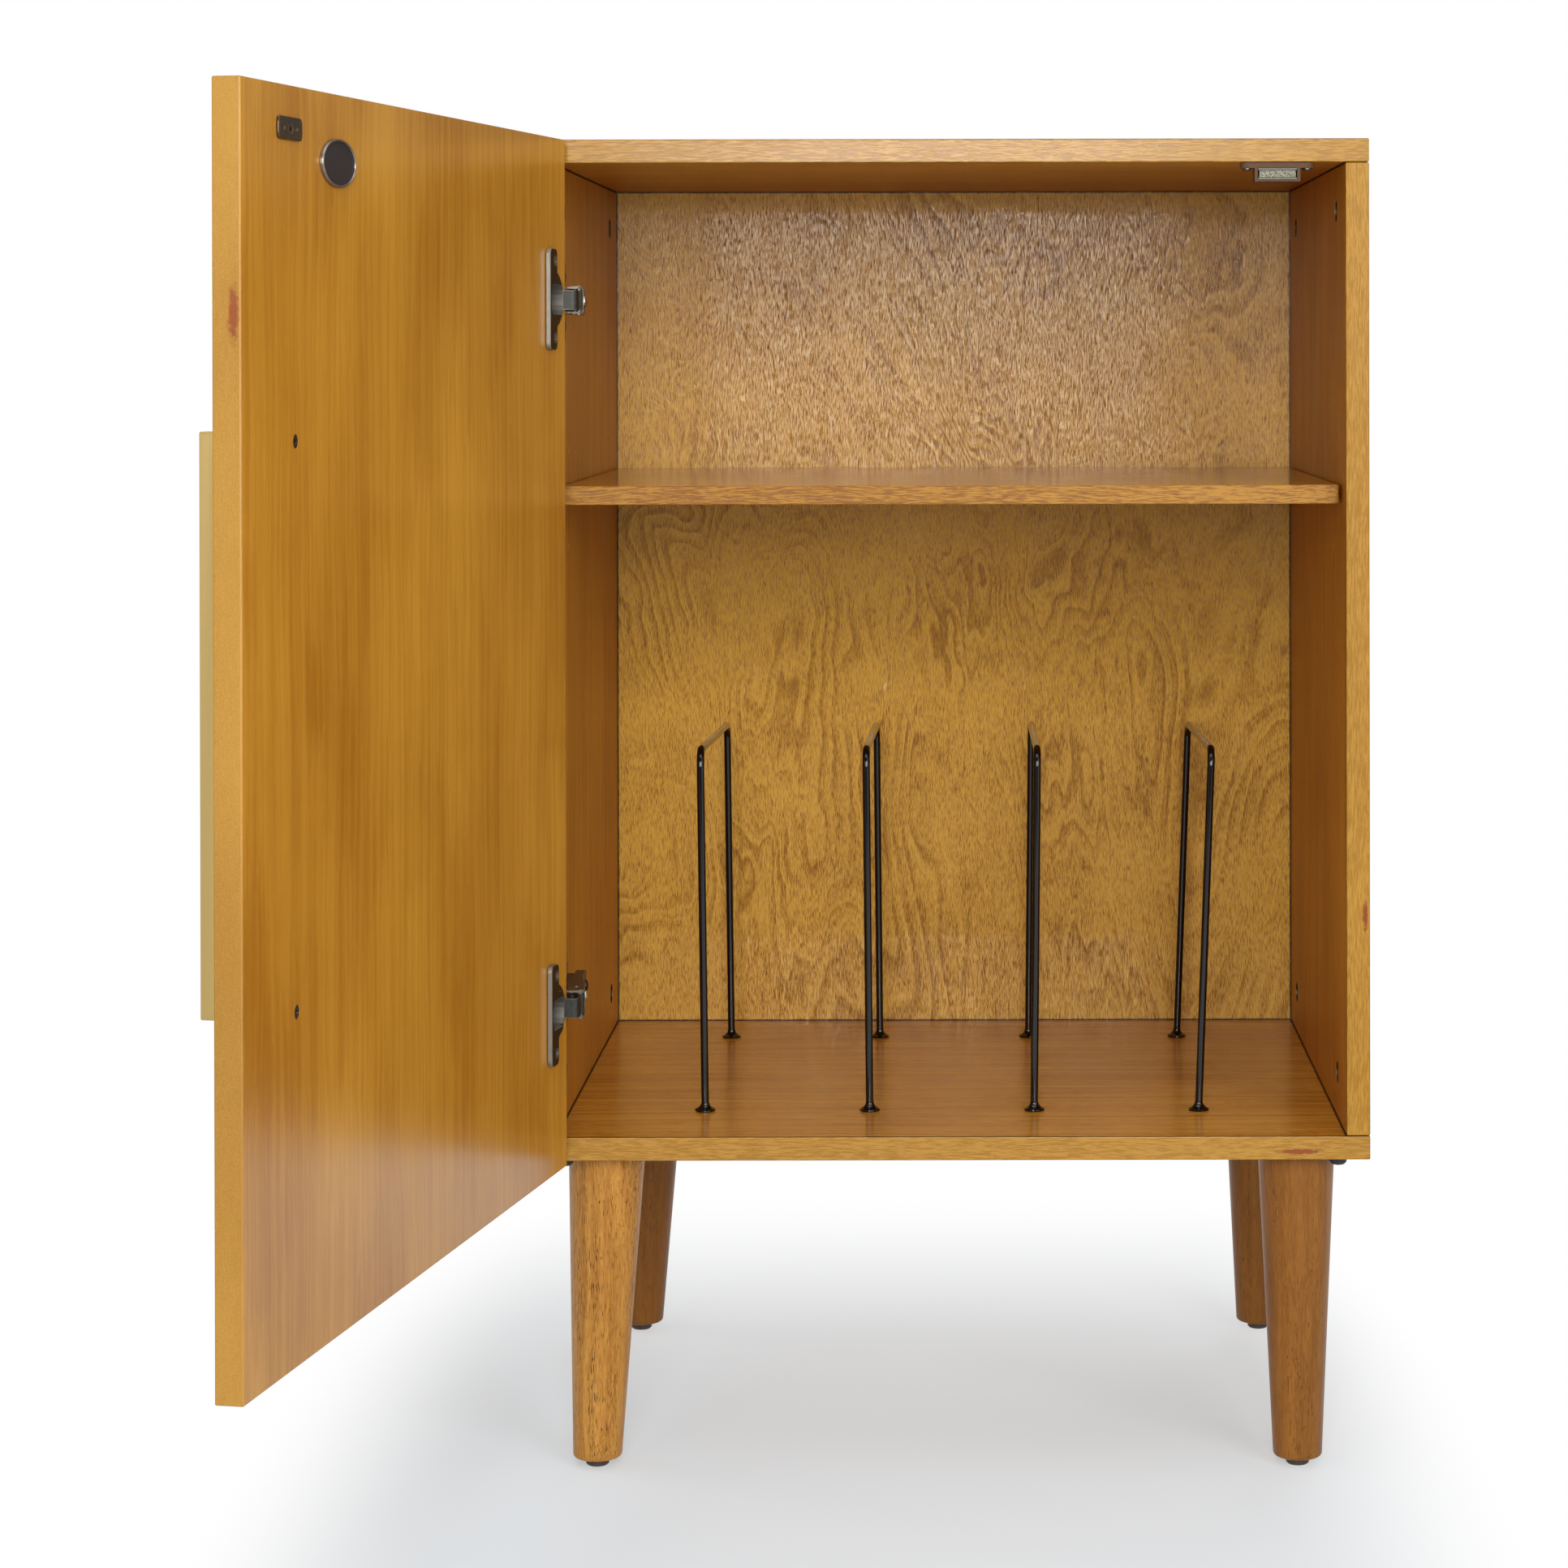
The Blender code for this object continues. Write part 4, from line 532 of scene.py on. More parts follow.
def veneered_board(name, along, face, offset, look, borders=None, knots=()):
    """Lacquered board: veneer on its two faces and a sand-fine lipping round its edges."""
    surface = Surface(name)
    flat = surface.ease(surface.sum("ABSOLUTE", surface.facing(face)), 0.55, 0.85)
    wood = surface.group(
        "Board wood", vector=surface.grain(along, offset), flat=flat, pale=rgba(look["pale"]),
        deep=rgba(look["pale"] + "_deep"), edge_pale=rgba(look["edge"]),
        edge_deep=rgba(look["edge"] + "_deep"), pore=rgba("pore"),
        **{part: look[part] for part in ("clouds", "lines", "strokes", "edge_strokes", "pores")},
    )
    tint = wood["Color"]
    for centre, reach in knots:
        knot = surface.group("Knot mark", vector=surface.place, centre=centre, reach=reach)
        tint = surface.mix(knot["Mask"], tint, rgba("knot"))
    if borders:
        tint = surface.joint_lines(tint, borders, flat)
    gloss = surface.ease(flat, 0.0, 1.0, look["edge_gloss"], look["gloss"])
    lacquer = surface.lacquer(gloss, 0.08)
    surface.paint(tint, lacquer["Roughness"], look["shine"])
    surface.bump(surface.onto(lacquer["Ripple"], 0.8, wood["Height"]), 0.00004, 0.5)


def figured_board(name, offset, borders):
    """The thin back board: rotary-cut veneer under a thinner, duller lacquer."""
    surface = Surface(name)
    wood = surface.group(
        "Rotary figure", vector=surface.grain("Z", offset), pale=rgba("back"),
        deep=rgba("back_deep"), rings=40.0, ring_strength=0.5, strokes=0.9,
    )
    rough = surface.onto(wood["Ring"], -0.5, surface.lacquer(0.72, 0.06)["Roughness"])
    surface.paint(surface.joint_lines(wood["Color"], borders), rough, 0.2)
    surface.bump(wood["Height"], 0.00007, 0.6)


def turned_oak(name, pale, offset, pores):
    """Lacquered solid wood of a leg, with short dark pores."""
    surface = Surface(name)
    wood = surface.group(
        "Board wood", vector=surface.grain("Z", offset), flat=1.0, pale=rgba(pale),
        deep=rgba(pale + "_deep"), pore=rgba("pore"), clouds=1.2, lines=0.6, strokes=0.4,
        pores=pores,
    )
    surface.paint(wood["Color"], surface.lacquer(0.62, 0.12)["Roughness"], 0.22)
    surface.bump(wood["Height"], 0.00008, 0.7)


def worn_metal(name, metal, bright, wear, dullness, edge_width=0.0004):
    """Plated or blackened metal with rubbed edges."""
    surface = Surface(name)
    worn = surface.rubbed(metal, bright, wear, dullness, edge_width)
    surface.paint(worn["Color"], worn["Roughness"], metallic=1.0)
    surface.bump(worn["Height"], 0.00003, 0.5)


def hinge_cup_metal():
    """Hinge flange: browned pressed face, rubbed edges, and side faces painted bright as a
    highlight.
    """
    surface = Surface("browned_nickel_cup")
    facing = surface.facing(DOOR.to_3x3() @ Vector((0, 1, 0)))
    worn = surface.rubbed("nickel_deep", "flange", 0.7, 0.5, 0.0005)
    # Faces turned away from the door's normal take the bright edge colour: a painted highlight for
    # the light caught on the flange's rounded edge.
    side = surface.ease(facing, 0.55, 0.9, 1.0, 0.0)
    tint = surface.mix(side, worn["Color"], rgba("flange"))
    surface.paint(tint, worn["Roughness"], metallic=1.0)
    surface.bump(worn["Height"], 0.00003, 0.5)


def coated(name, tint, gloss, speckle, grain_scale=900.0, depth=0.00003, shine=0.5):
    """Painted, moulded or sprayed surface with a fine texture."""
    surface = Surface(name)
    grain = surface.noise(surface.place, grain_scale, 3.0, 0.6)
    speckled = surface.mix(surface.ease(grain, 0.3, 0.7), rgba(tint, 1 - speckle),
                           rgba(tint, 1 + speckle))
    surface.paint(speckled, surface.lacquer(gloss, 0.1)["Roughness"], shine)
    surface.bump(grain, depth, 0.5)


def satin_gold():
    """Powder-smooth satin gold of the handle."""
    surface = Surface("satin_gold_handle")
    brushed = surface.noise(surface.stretch(surface.place, BRUSHING), 1.0, 2.0, 0.6)
    tint = surface.mix(brushed, rgba("gold", 0.9), rgba("gold"))
    surface.paint(tint, surface.lacquer(0.55, 0.1)["Roughness"], metallic=1.0)
    surface.bump(brushed, 0.00002, 0.4)


def dress(node, name):
    """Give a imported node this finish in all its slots."""
    slots = frame["nodes"][node].data.materials
    if not slots:
        slots.append(None)
    for index in range(len(slots)):
        slots[index] = bpy.data.materials[name]


# Mesh helpers

def circle_points(radius, sides):
    """Points on a circle about the origin."""
    turn = 2 * math.pi / sides
    return [(radius * math.cos(turn * i), radius * math.sin(turn * i)) for i in range(sides)]


def bend(centre, radius, start, end, steps=6):
    """Points on an arc between two angles in degrees."""
    angles = [math.radians(start + (end - start) * step / steps) for step in range(steps + 1)]
    return [(centre[0] + radius * math.cos(a), centre[1] + radius * math.sin(a)) for a in angles]


def skin(shape, rings):
    """Faces between each ring and the next, band by band; a ring may be a single point."""
    sides = max(len(ring) for ring in rings)
    bands = []
    for low, high in zip(rings, rings[1:]):
        bands.append([])
        for i in range(sides):
            j = (i + 1) % sides
            corners = [low[i % len(low)], low[j % len(low)], high[j % len(high)],
                       high[i % len(high)]]
            unique = list(dict.fromkeys(corners))
            if len(unique) > 2:
                bands[-1].append(shape.faces.new(unique))
    return bands


def lathe(profile, sides=48):
    """A closed solid turned about Z from (radius, height) points, first and last on the axis."""
    shape = bmesh.new()
    rings = []
    for radius, height in profile:
        around = circle_points(radius, sides) if radius > 1e-9 else [(0, 0)]
        rings.append([shape.verts.new((x, y, height)) for x, y in around])
    skin(shape, rings)
    bmesh.ops.recalc_face_normals(shape, faces=shape.faces)
    return shape


def raise_outline(outline, height):
    """A solid with this outline from z = 0 up to the height."""
    shape = bmesh.new()
    base = shape.faces.new([shape.verts.new((x, y, 0)) for x, y in outline])
    lifted = bmesh.ops.extrude_face_region(shape, geom=[base])
    corners = [item for item in lifted["geom"] if isinstance(item, bmesh.types.BMVert)]
    bmesh.ops.translate(shape, verts=corners, vec=(0, 0, height))
    bmesh.ops.recalc_face_normals(shape, faces=shape.faces)
    return shape


def cross_cutter(span, width, depth):
    """A tapered cross for a screw's recess, its mouth just above z = 0."""
    a = width / 2
    b = span / 2
    outline = [(a, b), (-a, b), (-a, a), (-b, a), (-b, -a), (-a, -a), (-a, -b), (a, -b), (a, -a),
               (b, -a), (b, a), (a, a)]
    shape = raise_outline(outline, -depth)
    for corner in shape.verts:
        if corner.co.z < -depth / 2:
            corner.co.xy *= RECESS_TAPER
    bmesh.ops.translate(shape, verts=shape.verts, vec=(0, 0, CUTTER_PROUD))
    bmesh.ops.recalc_face_normals(shape, faces=shape.faces)
    return shape


def mesh_object(name, shape, matrix=UP):
    """An object at the origin whose mesh is the shape in the matrix's place."""
    mesh = bpy.data.meshes.new(name)
    shape.to_mesh(mesh)
    shape.free()
    mesh.transform(matrix)
    return linked(name, mesh)


def linked(name, data):
    """A new object in the scene."""
    item = bpy.data.objects.new(name, data)
    bpy.context.scene.collection.objects.link(item)
    return item


def baked_mesh(item):
    """The mesh that an object's modifiers or its curve make."""
    scene = bpy.context.evaluated_depsgraph_get()
    return bpy.data.meshes.new_from_object(item.evaluated_get(scene))


def modify(item, kind, **settings):
    """Put one modifier on an object and keep its result as plain mesh."""
    step = item.modifiers.new(kind.lower(), kind)
    for key, value in settings.items():
        setattr(step, key, value)
    mesh = baked_mesh(item)
    item.modifiers.clear()
    item.data = mesh


def carve(item, shape, matrix):
    """Cut a shape in the matrix's place out of an object."""
    cutter = mesh_object("cutter", shape, matrix)
    modify(item, "BOOLEAN", operation="DIFFERENCE", solver="EXACT", object=cutter)
    bpy.data.objects.remove(cutter, do_unlink=True)


def soften(item, width, segments):
    """Round the sharp edges of a piece and keep the result."""
    modify(item, "BEVEL", width=width, segments=segments, limit_method="ANGLE",
           angle_limit=ROUNDED_FROM)


def finish_piece(item, body, finishes, slot, *replaced):
    """Give a piece its finishes, its shading, its body and the nodes that it stands for."""
    for index, name in enumerate(finishes.split()):
        if index == len(item.data.materials):
            item.data.materials.append(None)
        item.data.materials[index] = bpy.data.materials[name]
    item.data.shade_smooth()
    item.data.set_sharp_from_angle(angle=SHARP_FROM)
    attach(item, body)
    if replaced:
        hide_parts(*replaced)


def extent(node, matrix):
    """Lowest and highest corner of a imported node, seen in the matrix's own frame."""
    inward = matrix.inverted()
    points = [inward @ corner.co for corner in frame["nodes"][node].data.vertices]
    return tuple(Vector([pick(point[i] for point in points) for i in range(3)])
                 for pick in (min, max))


def cross_head_screw(node, matrix, body, finish, slot, domed=False, shift=0.0):
    """A screw with a cross recess in place of the plain one; its head points along Z."""
    low, high = extent(node, matrix)
    low.x += shift
    high.x += shift
    head = (high.x - low.x) / 2
    reach = high.z - low.z
    shank = rise = head * SHANK
    profile = [(0, -reach), (shank / 3, -reach), (shank, 2 * shank - reach)]
    if domed:
        profile += [(shank, -rise), (head, -rise), (head, -rise * 0.72)]
        for angle in (15, 30, 45, 60, 75):
            turn = math.radians(angle)
            profile.append((head * math.cos(turn), rise * 0.72 * (math.sin(turn) - 1)))
    else:
        profile += [(shank, shank - head), (head, -HEAD_RIM), (head - HEAD_CHAMFER, 0)]
    place = matrix @ Matrix.Translation(((low.x + high.x) / 2, (low.y + high.y) / 2, high.z))
    item = mesh_object(node + "_recessed", lathe([*profile, (0, 0)], 40), place)
    cutter = cross_cutter(head * 1.15, sizes().cross_width, head * 0.6)
    turn = Matrix.Rotation(math.radians(20 + 50 * (low.z * 1000 % 1)), 4, "Z")
    carve(item, cutter, place @ turn)
    finish_piece(item, body, finish, slot, node)


# Operators

class StandOperator(Operator):
    """What the stand's operators share."""

    bl_options = {"REGISTER", "UNDO"}


class STAND_OT_finishes(StandOperator):
    """Make the shared shader groups and every finish"""

    bl_idname = "stand.finishes"
    bl_label = "Finishes"

    def execute(self, context):
        """Groups first, then the materials that use them."""
        make_grain_group()
        make_figure_group()
        make_lacquer_group()
        make_knot_group()
        make_seam_group()
        make_wear_group()
        self.boards()
        # The front left leg takes the paler colours as painted light; the other three take the
        # darker colours as painted shade.
        turned_oak("turned_leg_front_left", "leg", 0.9, 0.8)
        turned_oak("turned_leg_front_right", "leg_dark", 1.9, 0.72)
        turned_oak("turned_leg_rear_left", "leg_dark", 2.9, 0.72)
        turned_oak("turned_leg_rear_right", "leg_dark", 3.9, 0.72)
        satin_gold()
        coated("gloss_black_wire_coat", "wire", 0.88, 0.3)
        coated("brown_catch_plastic", "plastic", 0.5, 0.3, 2400.0, 0.00003, 0.15)
        coated("ferrite_magnet", "ferrite", 0.3, 0.9, 1300.0, 0.0001, 0.2)
        coated("black_bumper_rubber", "rubber", 0.4, 0.3, 1800.0)
        coated("brown_glide_plastic", "glide", 0.5, 0.2, 1600.0)
        coated("black_badge_enamel", "enamel", 0.6, 0.25, 1400.0, 0.00003, 0.2)
        worn_metal("aged_nickel_hinge", "nickel", "steel", 0.8, 0.46)
        worn_metal("dark_steel_link", "link", "flange", 0.8, 0.48, 0.0005)
        hinge_cup_metal()
        worn_metal("bright_steel_parts", "steel", "steel", 0.5, 0.36)
        worn_metal("dull_pole_steel", "pole", "flange", 0.5, 0.6)
        # Dark screws, and the cams, whose dark colour is painted shade in their bores.
        worn_metal("blackened_screw", "dark_screw", "steel", 0.5, 0.42, 0.0002)
        worn_metal("dark_bronze_strike", "bronze", "nickel", 0.55, 0.42)
        worn_metal("badge_rim_chrome", "chrome", "chrome", 0.4, 0.4)
        return {"FINISHED"}

    def boards(self):
        """The boards' finishes, from one plain look and its changes."""
        plain = {"pale": "veneer", "edge": "edge", "clouds": 1.9, "lines": 0.5, "strokes": 0.12,
                 "edge_strokes": 0.15, "pores": 0.0, "gloss": 0.76, "edge_gloss": 0.56,
                 "shine": 0.45}
        inner = dict(plain, pale="side", clouds=1.4, lines=0.9, strokes=0.3, edge_strokes=1.0,
                     gloss=0.6, shine=0.2)
        level = dict(plain, clouds=1.4, lines=1.0, strokes=0.6, edge_strokes=1.2, gloss=0.8,
                     shine=0.32)
        shelf = dict(level, edge="shelf_edge", edge_strokes=1.6, edge_gloss=0.35, gloss=0.88,
                     shine=0.5)
        roof = dict(inner, edge_strokes=2.5, edge_gloss=0.8, shine=0.3)
        door_knot = ((-0.2885, -0.4727, 0.7364), (0.0035, 0.004, 0.018))
        right_knot = ((0.3182, 0.0624, 0.3597), (0.0022, 0.004, 0.012))
        bottom_knot = ((0.2764, 0.0624, 0.2105), (0.016, 0.004, 0.0022))
        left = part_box("left_side_panel")[1].x
        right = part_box("right_side_panel")[0].x
        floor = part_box("bottom_panel")[1].z
        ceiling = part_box("top_panel")[0].z
        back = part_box("back_panel")[0].y
        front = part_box("bottom_panel")[0].y + 2 * ARRIS
        wall = ((-FAR, front, floor), (FAR, back, ceiling))
        deck = ((left, front, -FAR), (right, back, FAR))
        across = (1, 0, 0)
        level_face = (0, 0, 1)
        door_face = DOOR.to_3x3() @ Vector((0, 1, 0))
        veneered_board("door_veneer", "Z", door_face, 0.3, plain, None, [door_knot])
        veneered_board("left_side_veneer", "Z", across, 0.8, inner, wall)
        veneered_board("right_side_veneer", "Z", across, 1.3, inner, wall, [right_knot])
        veneered_board("top_veneer", "X", level_face, 0.1, roof, deck)
        veneered_board("bottom_veneer", "X", level_face, 0.5, level, deck, [bottom_knot])
        veneered_board("shelf_veneer", "X", level_face, 2.1, shelf)
        figured_board("back_veneer", 4.1, ((left, -FAR, floor), (right, FAR, ceiling)))


class STAND_OT_boards(StandOperator):
    """Finish the boards of the cabinet, the shelf and the door"""

    bl_idname = "stand.boards"
    bl_label = "Boards"

    def execute(self, context):
        """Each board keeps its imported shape."""
        for board in ("door", "left_side", "right_side", "top", "bottom", "back"):
            dress(board + "_panel", board + "_veneer")
        dress("shelf", "shelf_veneer")
        return {"FINISHED"}


class STAND_OT_legs(StandOperator):
    """Turn the legs finer, and finish the glides, bolts and bumpers"""

    bl_idname = "stand.legs"
    bl_label = "Legs and feet"

    def execute(self, context):
        """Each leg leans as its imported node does."""
        size = sizes()
        top = size.leg_top / 2
        foot = size.leg_foot / 2
        edge = size.leg_round
        for corner in CORNERS:
            low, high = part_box("leg_" + corner)
            tall = high.z - low.z - size.glide + GLIDE_PACKED
            upper = sum(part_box("leg_bolt_" + corner), Vector()) / 2
            lower = sum(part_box("glide_" + corner), Vector()) / 2
            profile = [(0, -tall)]
            profile += [(r, z - tall) for r, z in bend((foot - edge, edge), edge, -90, 0)]
            for step in range(1, 12):
                share = step / 12
                profile.append((foot + (top - foot) * share, (tall - edge) * (share - 1)))
            profile += [(top, -LEG_CHAMFER), (top - LEG_CHAMFER, 0), (0, 0)]
            lean = Matrix.Identity(4)
            lean[0][2] = (upper.x - lower.x) / tall
            place = Matrix.Translation((upper.x, upper.y, high.z)) @ lean
            item = mesh_object("leg_" + corner + "_turned", lathe(profile, 72), place)
            finish_piece(item, "cabinet", "turned_leg_" + corner, "solid_oak", "leg_" + corner)
            self.add_glide(corner, lower)
            dress("leg_bolt_" + corner, "bright_steel_parts")
        for side in ("left", "right"):
            dress("bumper_" + side, "black_bumper_rubber")
        return {"FINISHED"}

    def add_glide(self, corner, middle):
        """A round glide with a turned-over rim and its nail up into the foot."""
        low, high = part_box("glide_" + corner)
        wide = (high.x - low.x) / 2
        tall = sizes().glide
        profile = [(0, 0), (wide * 0.8, 0), (wide * 0.93, tall * 0.2), (wide * 0.96, tall * 0.7),
                   (wide * 0.88, tall), (NAIL, tall), (NAIL, high.z - 0.002), (0, high.z)]
        place = Matrix.Translation((middle.x, middle.y, 0))
        item = mesh_object("glide_" + corner + "_round", lathe(profile), place)
        finish_piece(item, "cabinet", "brown_glide_plastic", "brown_glide", "glide_" + corner)


class STAND_OT_dividers(StandOperator):
    """Bend the four black wires with their flared collars"""

    bl_idname = "stand.dividers"
    bl_label = "Record dividers"

    def execute(self, context):
        """One piece for each wire, with its collars and pegs."""
        size = sizes()
        cabinet_low, cabinet_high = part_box("bottom_panel")
        middle = (cabinet_low.x + cabinet_high.x) / 2
        front = cabinet_low.y + size.wire_depth
        for index, lean in enumerate(WIRE_LEANS):
            name = "wire_divider_" + str(index + 1)
            foot_x = middle + (index - 1.5) * size.wire_pitch
            shape = self.bent_wire(name, self.slope(name, foot_x, lean))
            for foot_y in (0, size.wire_span):
                self.add_collar(shape, foot_y, index)
            place = Matrix.Translation((foot_x, front, cabinet_high.z))
            piece = mesh_object(name + "_bent", shape, place)
            finish_piece(piece, "cabinet", "gloss_black_wire_coat", "gloss_black_wire", name)
        return {"FINISHED"}

    def slope(self, name, foot_x, lean):
        """How far a wire leans over its height, from its packed box where that shows it."""
        size = sizes()
        low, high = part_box(name)
        half = size.wire / 2
        free = size.collar / 2 + 1e-4
        left_lean = low.x + half - foot_x if low.x < foot_x - free else 0
        right_lean = high.x - half - foot_x if high.x > foot_x + free else 0
        tall = size.wire_front - half - size.collar_height
        return (left_lean + right_lean) / tall or math.tan(math.radians(lean))

    def route(self, slope):
        """Middle line of one wire from its first foot over to its second."""
        size = sizes()
        half = size.wire / 2
        span = size.wire_span
        corners = [Vector((0, 0, 0)), Vector((0, 0, size.wire_front - half)),
                   Vector((0, span, size.wire_rear - half)), Vector((0, span, 0))]
        path = [Vector((0, 0, -PEG_DEPTH)), corners[0]]
        for before, corner, after in zip(corners, corners[1:], corners[2:]):
            back = (before - corner).normalized()
            ahead = (after - corner).normalized()
            opening = back.angle(ahead) / 2
            centre = corner + (back + ahead).normalized() * size.wire_bend / math.sin(opening)
            reach = size.wire_bend / math.tan(opening)
            first = (corner + back * reach - centre).normalized()
            last = (corner + ahead * reach - centre).normalized()
            path += [centre + first.slerp(last, step / 14) * size.wire_bend for step in range(15)]
        path += [corners[-1], Vector((0, span, -PEG_DEPTH))]
        for point in path:
            point.x = slope * max(point.z - size.collar_height, 0)
        return path

    def bent_wire(self, name, slope):
        """The wire as a shape, thinner at its two ends."""
        size = sizes()
        path = self.route(slope)
        curve = bpy.data.curves.new(name, "CURVE")
        curve.dimensions = "3D"
        curve.bevel_depth = size.wire / 2
        curve.bevel_resolution = 6
        curve.use_fill_caps = True
        points = curve.splines.new("POLY").points
        points.add(len(path) - 1)
        for point, place in zip(points, path):
            point.co = (*place, 1)
        points[0].radius = points[-1].radius = size.peg / size.wire
        item = linked(name + "_middle", curve)
        shape = bmesh.new()
        shape.from_mesh(baked_mesh(item))
        bpy.data.objects.remove(item, do_unlink=True)
        return shape

    def add_collar(self, shape, foot_y, index):
        """A flared push-on collar with a slightly uneven rim."""
        size = sizes()
        wide = size.collar / 2
        thin = size.wire / 2 + 0.0001
        profile = [(wide * 0.97, ARRIS), (wide, 0.0009), (wide * 0.97, 0.0013)]
        for step in range(1, 8):
            share = step / 7
            profile.append((thin + (wide * 0.9 - thin) * (1 - share) ** 2.4,
                            COLLAR_LIP + (size.collar_height - COLLAR_LIP) * share))
        rings = []
        for radius, height in profile:
            ring = []
            for i, (x, y) in enumerate(circle_points(1, COLLAR_SIDES)):
                wave = math.sin(3 * 2 * math.pi * i / COLLAR_SIDES + index + foot_y * 9)
                grow = min(radius * (1 + 0.035 * wave * radius / wide), wide)
                ring.append(shape.verts.new((x * grow, foot_y + y * grow, height)))
            rings.append(ring)
        skin(shape, rings)
        shape.faces.new(rings[0][::-1])
        shape.faces.new(rings[-1])


class STAND_OT_shelf_pins(StandOperator):
    """Finish the steel pins under the shelf"""

    bl_idname = "stand.shelf_pins"
    bl_label = "Shelf pins"

    def execute(self, context):
        """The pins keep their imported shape."""
        for corner in CORNERS:
            dress("shelf_pin_" + corner, "bright_steel_parts")
        return {"FINISHED"}


class STAND_OT_cams(StandOperator):
    """Put the slotted cams into their bores in both side boards, dark and lined with a dark sleeve
    as painted shade in the bores
    """

    bl_idname = "stand.cams"
    bl_label = "Corner cams"

    def execute(self, context):
        """One cam in each bore, found from the side boards' boxes."""
        size = sizes()
        radius = size.cam / 2
        # The cam's rim rises as a thin dark sleeve up the bore wall to just under the board's
        # face: a dark liner that paints the shade inside the bore.
        shade_liner_inner = radius - ARRIS
        shade_liner_top = size.cam_sink * 0.9
        deep = -size.cam_thickness
        rim = [(0, deep), (radius, deep), (radius, shade_liner_top), (shade_liner_inner, shade_liner_top), (shade_liner_inner, 0),
               (radius * 0.8, -ARRIS), (0, -ARRIS)]
        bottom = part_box("bottom_panel")
        heights = {"lower": bottom[1].z + CAM_FROM_JOINT,
                   "upper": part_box("top_panel")[0].z - CAM_FROM_JOINT}
        depths = {"front": bottom[0].y + CAM_FROM_FRONT, "rear": bottom[1].y - CAM_FROM_REAR}
        faces = {"left": (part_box("left_side_panel")[1].x, 1),
                 "right": (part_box("right_side_panel")[0].x, -1)}
        for side, (face, sign) in faces.items():
            turn = Matrix.Rotation(sign * math.pi / 2, 4, "Y")
            for end, y in depths.items():
                for level, z in heights.items():
                    place = Matrix.Translation((face - sign * size.cam_sink, y, z)) @ turn
                    item = mesh_object("_".join(("cam", side, end, level)), lathe(rim, 40), place)
                    carve(item, cross_cutter(radius * 1.25, CAM_SLOT, CAM_SLOT_DEPTH), place)
                    # The cams take the dark screw colour, painted shade that makes them read as
                    # dark slots in their bores.
                    finish_piece(item, "cabinet", "blackened_screw", "dark_screw")
        return {"FINISHED"}


class STAND_OT_handle(StandOperator):
    """Finish the handle and its two screws"""

    bl_idname = "stand.handle"
    bl_label = "Handle"

    def execute(self, context):
        """A square bar bent round at both ends, and the screws with their cross recess."""
        bar = sizes().handle_bar
        low, high = extent("door_handle", DOOR)
        out = low.y + sizes().handle_inset
        foot = extent("door_panel", DOOR)[0].y - HANDLE_CLEAR
        outline = [(foot, low.z), (out, low.z), (out, high.z), (foot, high.z),
                   (foot, high.z - bar), (out + bar, high.z - bar), (out + bar, low.z + bar),
                   (foot, low.z + bar)]
        shape = raise_outline(outline, high.x - low.x)
        turn = Matrix(((0, 0, 1, low.x), (1, 0, 0, 0), (0, 1, 0, 0), (0, 0, 0, 1)))
        item = mesh_object("door_handle_bar", shape, DOOR @ turn)
        soften(item, sizes().handle_edge, 3)
        finish_piece(item, "door", "satin_gold_handle", "satin_gold", "door_handle")
        for level in LEVELS:
            cross_head_screw("handle_screw_" + level, OUT_OF_DOOR, "door", "blackened_screw",
                             "dark_screw")
        return {"FINISHED"}


class STAND_OT_strike(StandOperator):
    """Press the strike plate with its two dimples, and its screw"""

    bl_idname = "stand.strike"
    bl_label = "Strike plate"

    def execute(self, context):
        """A rounded plate with a countersunk hole and a dimple on each side of it."""
        size = sizes()
        low, high = extent("strike_plate", OUT_OF_DOOR)
        middle = extent("door_panel", OUT_OF_DOOR)[1].x - size.strike_from_edge
        across = size.strike_wide / 2 - STRIKE_CORNER
        up = size.strike_tall / 2 - STRIKE_CORNER
        outline = []
        for quarter, (x, y) in enumerate(((1, 1), (-1, 1), (-1, -1), (1, -1))):
            start = 90 * quarter
            outline += bend((x * across, y * up), STRIKE_CORNER, start, start + 90, 8)
        place = OUT_OF_DOOR @ Matrix.Translation((middle, (low.y + high.y) / 2, low.z))
        shape = raise_outline(outline, high.z - low.z)
        item = mesh_object("strike_plate_pressed", shape, place)
        soften(item, ARRIS, 2)
        screw = extent("strike_screw", OUT_OF_DOOR)
        head = (screw[1].x - screw[0].x) / 2 + ARRIS
        neck = head * SHANK
        hole = lathe([(0, -0.003), (neck, -0.003), (neck, neck - head), (head, 0), (head, 0.002),
                      (0, 0.002)], 40)
        above = place @ Matrix.Translation((0, 0, high.z - low.z))
        carve(item, hole, above)
        radius = size.strike_dimple / 2
        for side in (-DIMPLE_OUT, DIMPLE_OUT):
            bowl = lathe([(0, -0.0006), (radius * 0.6, -0.0005), (radius, 0), (radius, 0.001),
                          (0, 0.001)], 28)
            carve(item, bowl, above @ Matrix.Translation((side, 0, 0)))
        finish_piece(item, "door", "dark_bronze_strike", "dark_bronze", "strike_plate")
        cross_head_screw("strike_screw", OUT_OF_DOOR, "door", "dark_bronze_strike",
                         "bright_steel", shift=middle - (screw[0].x + screw[1].x) / 2)
        return {"FINISHED"}


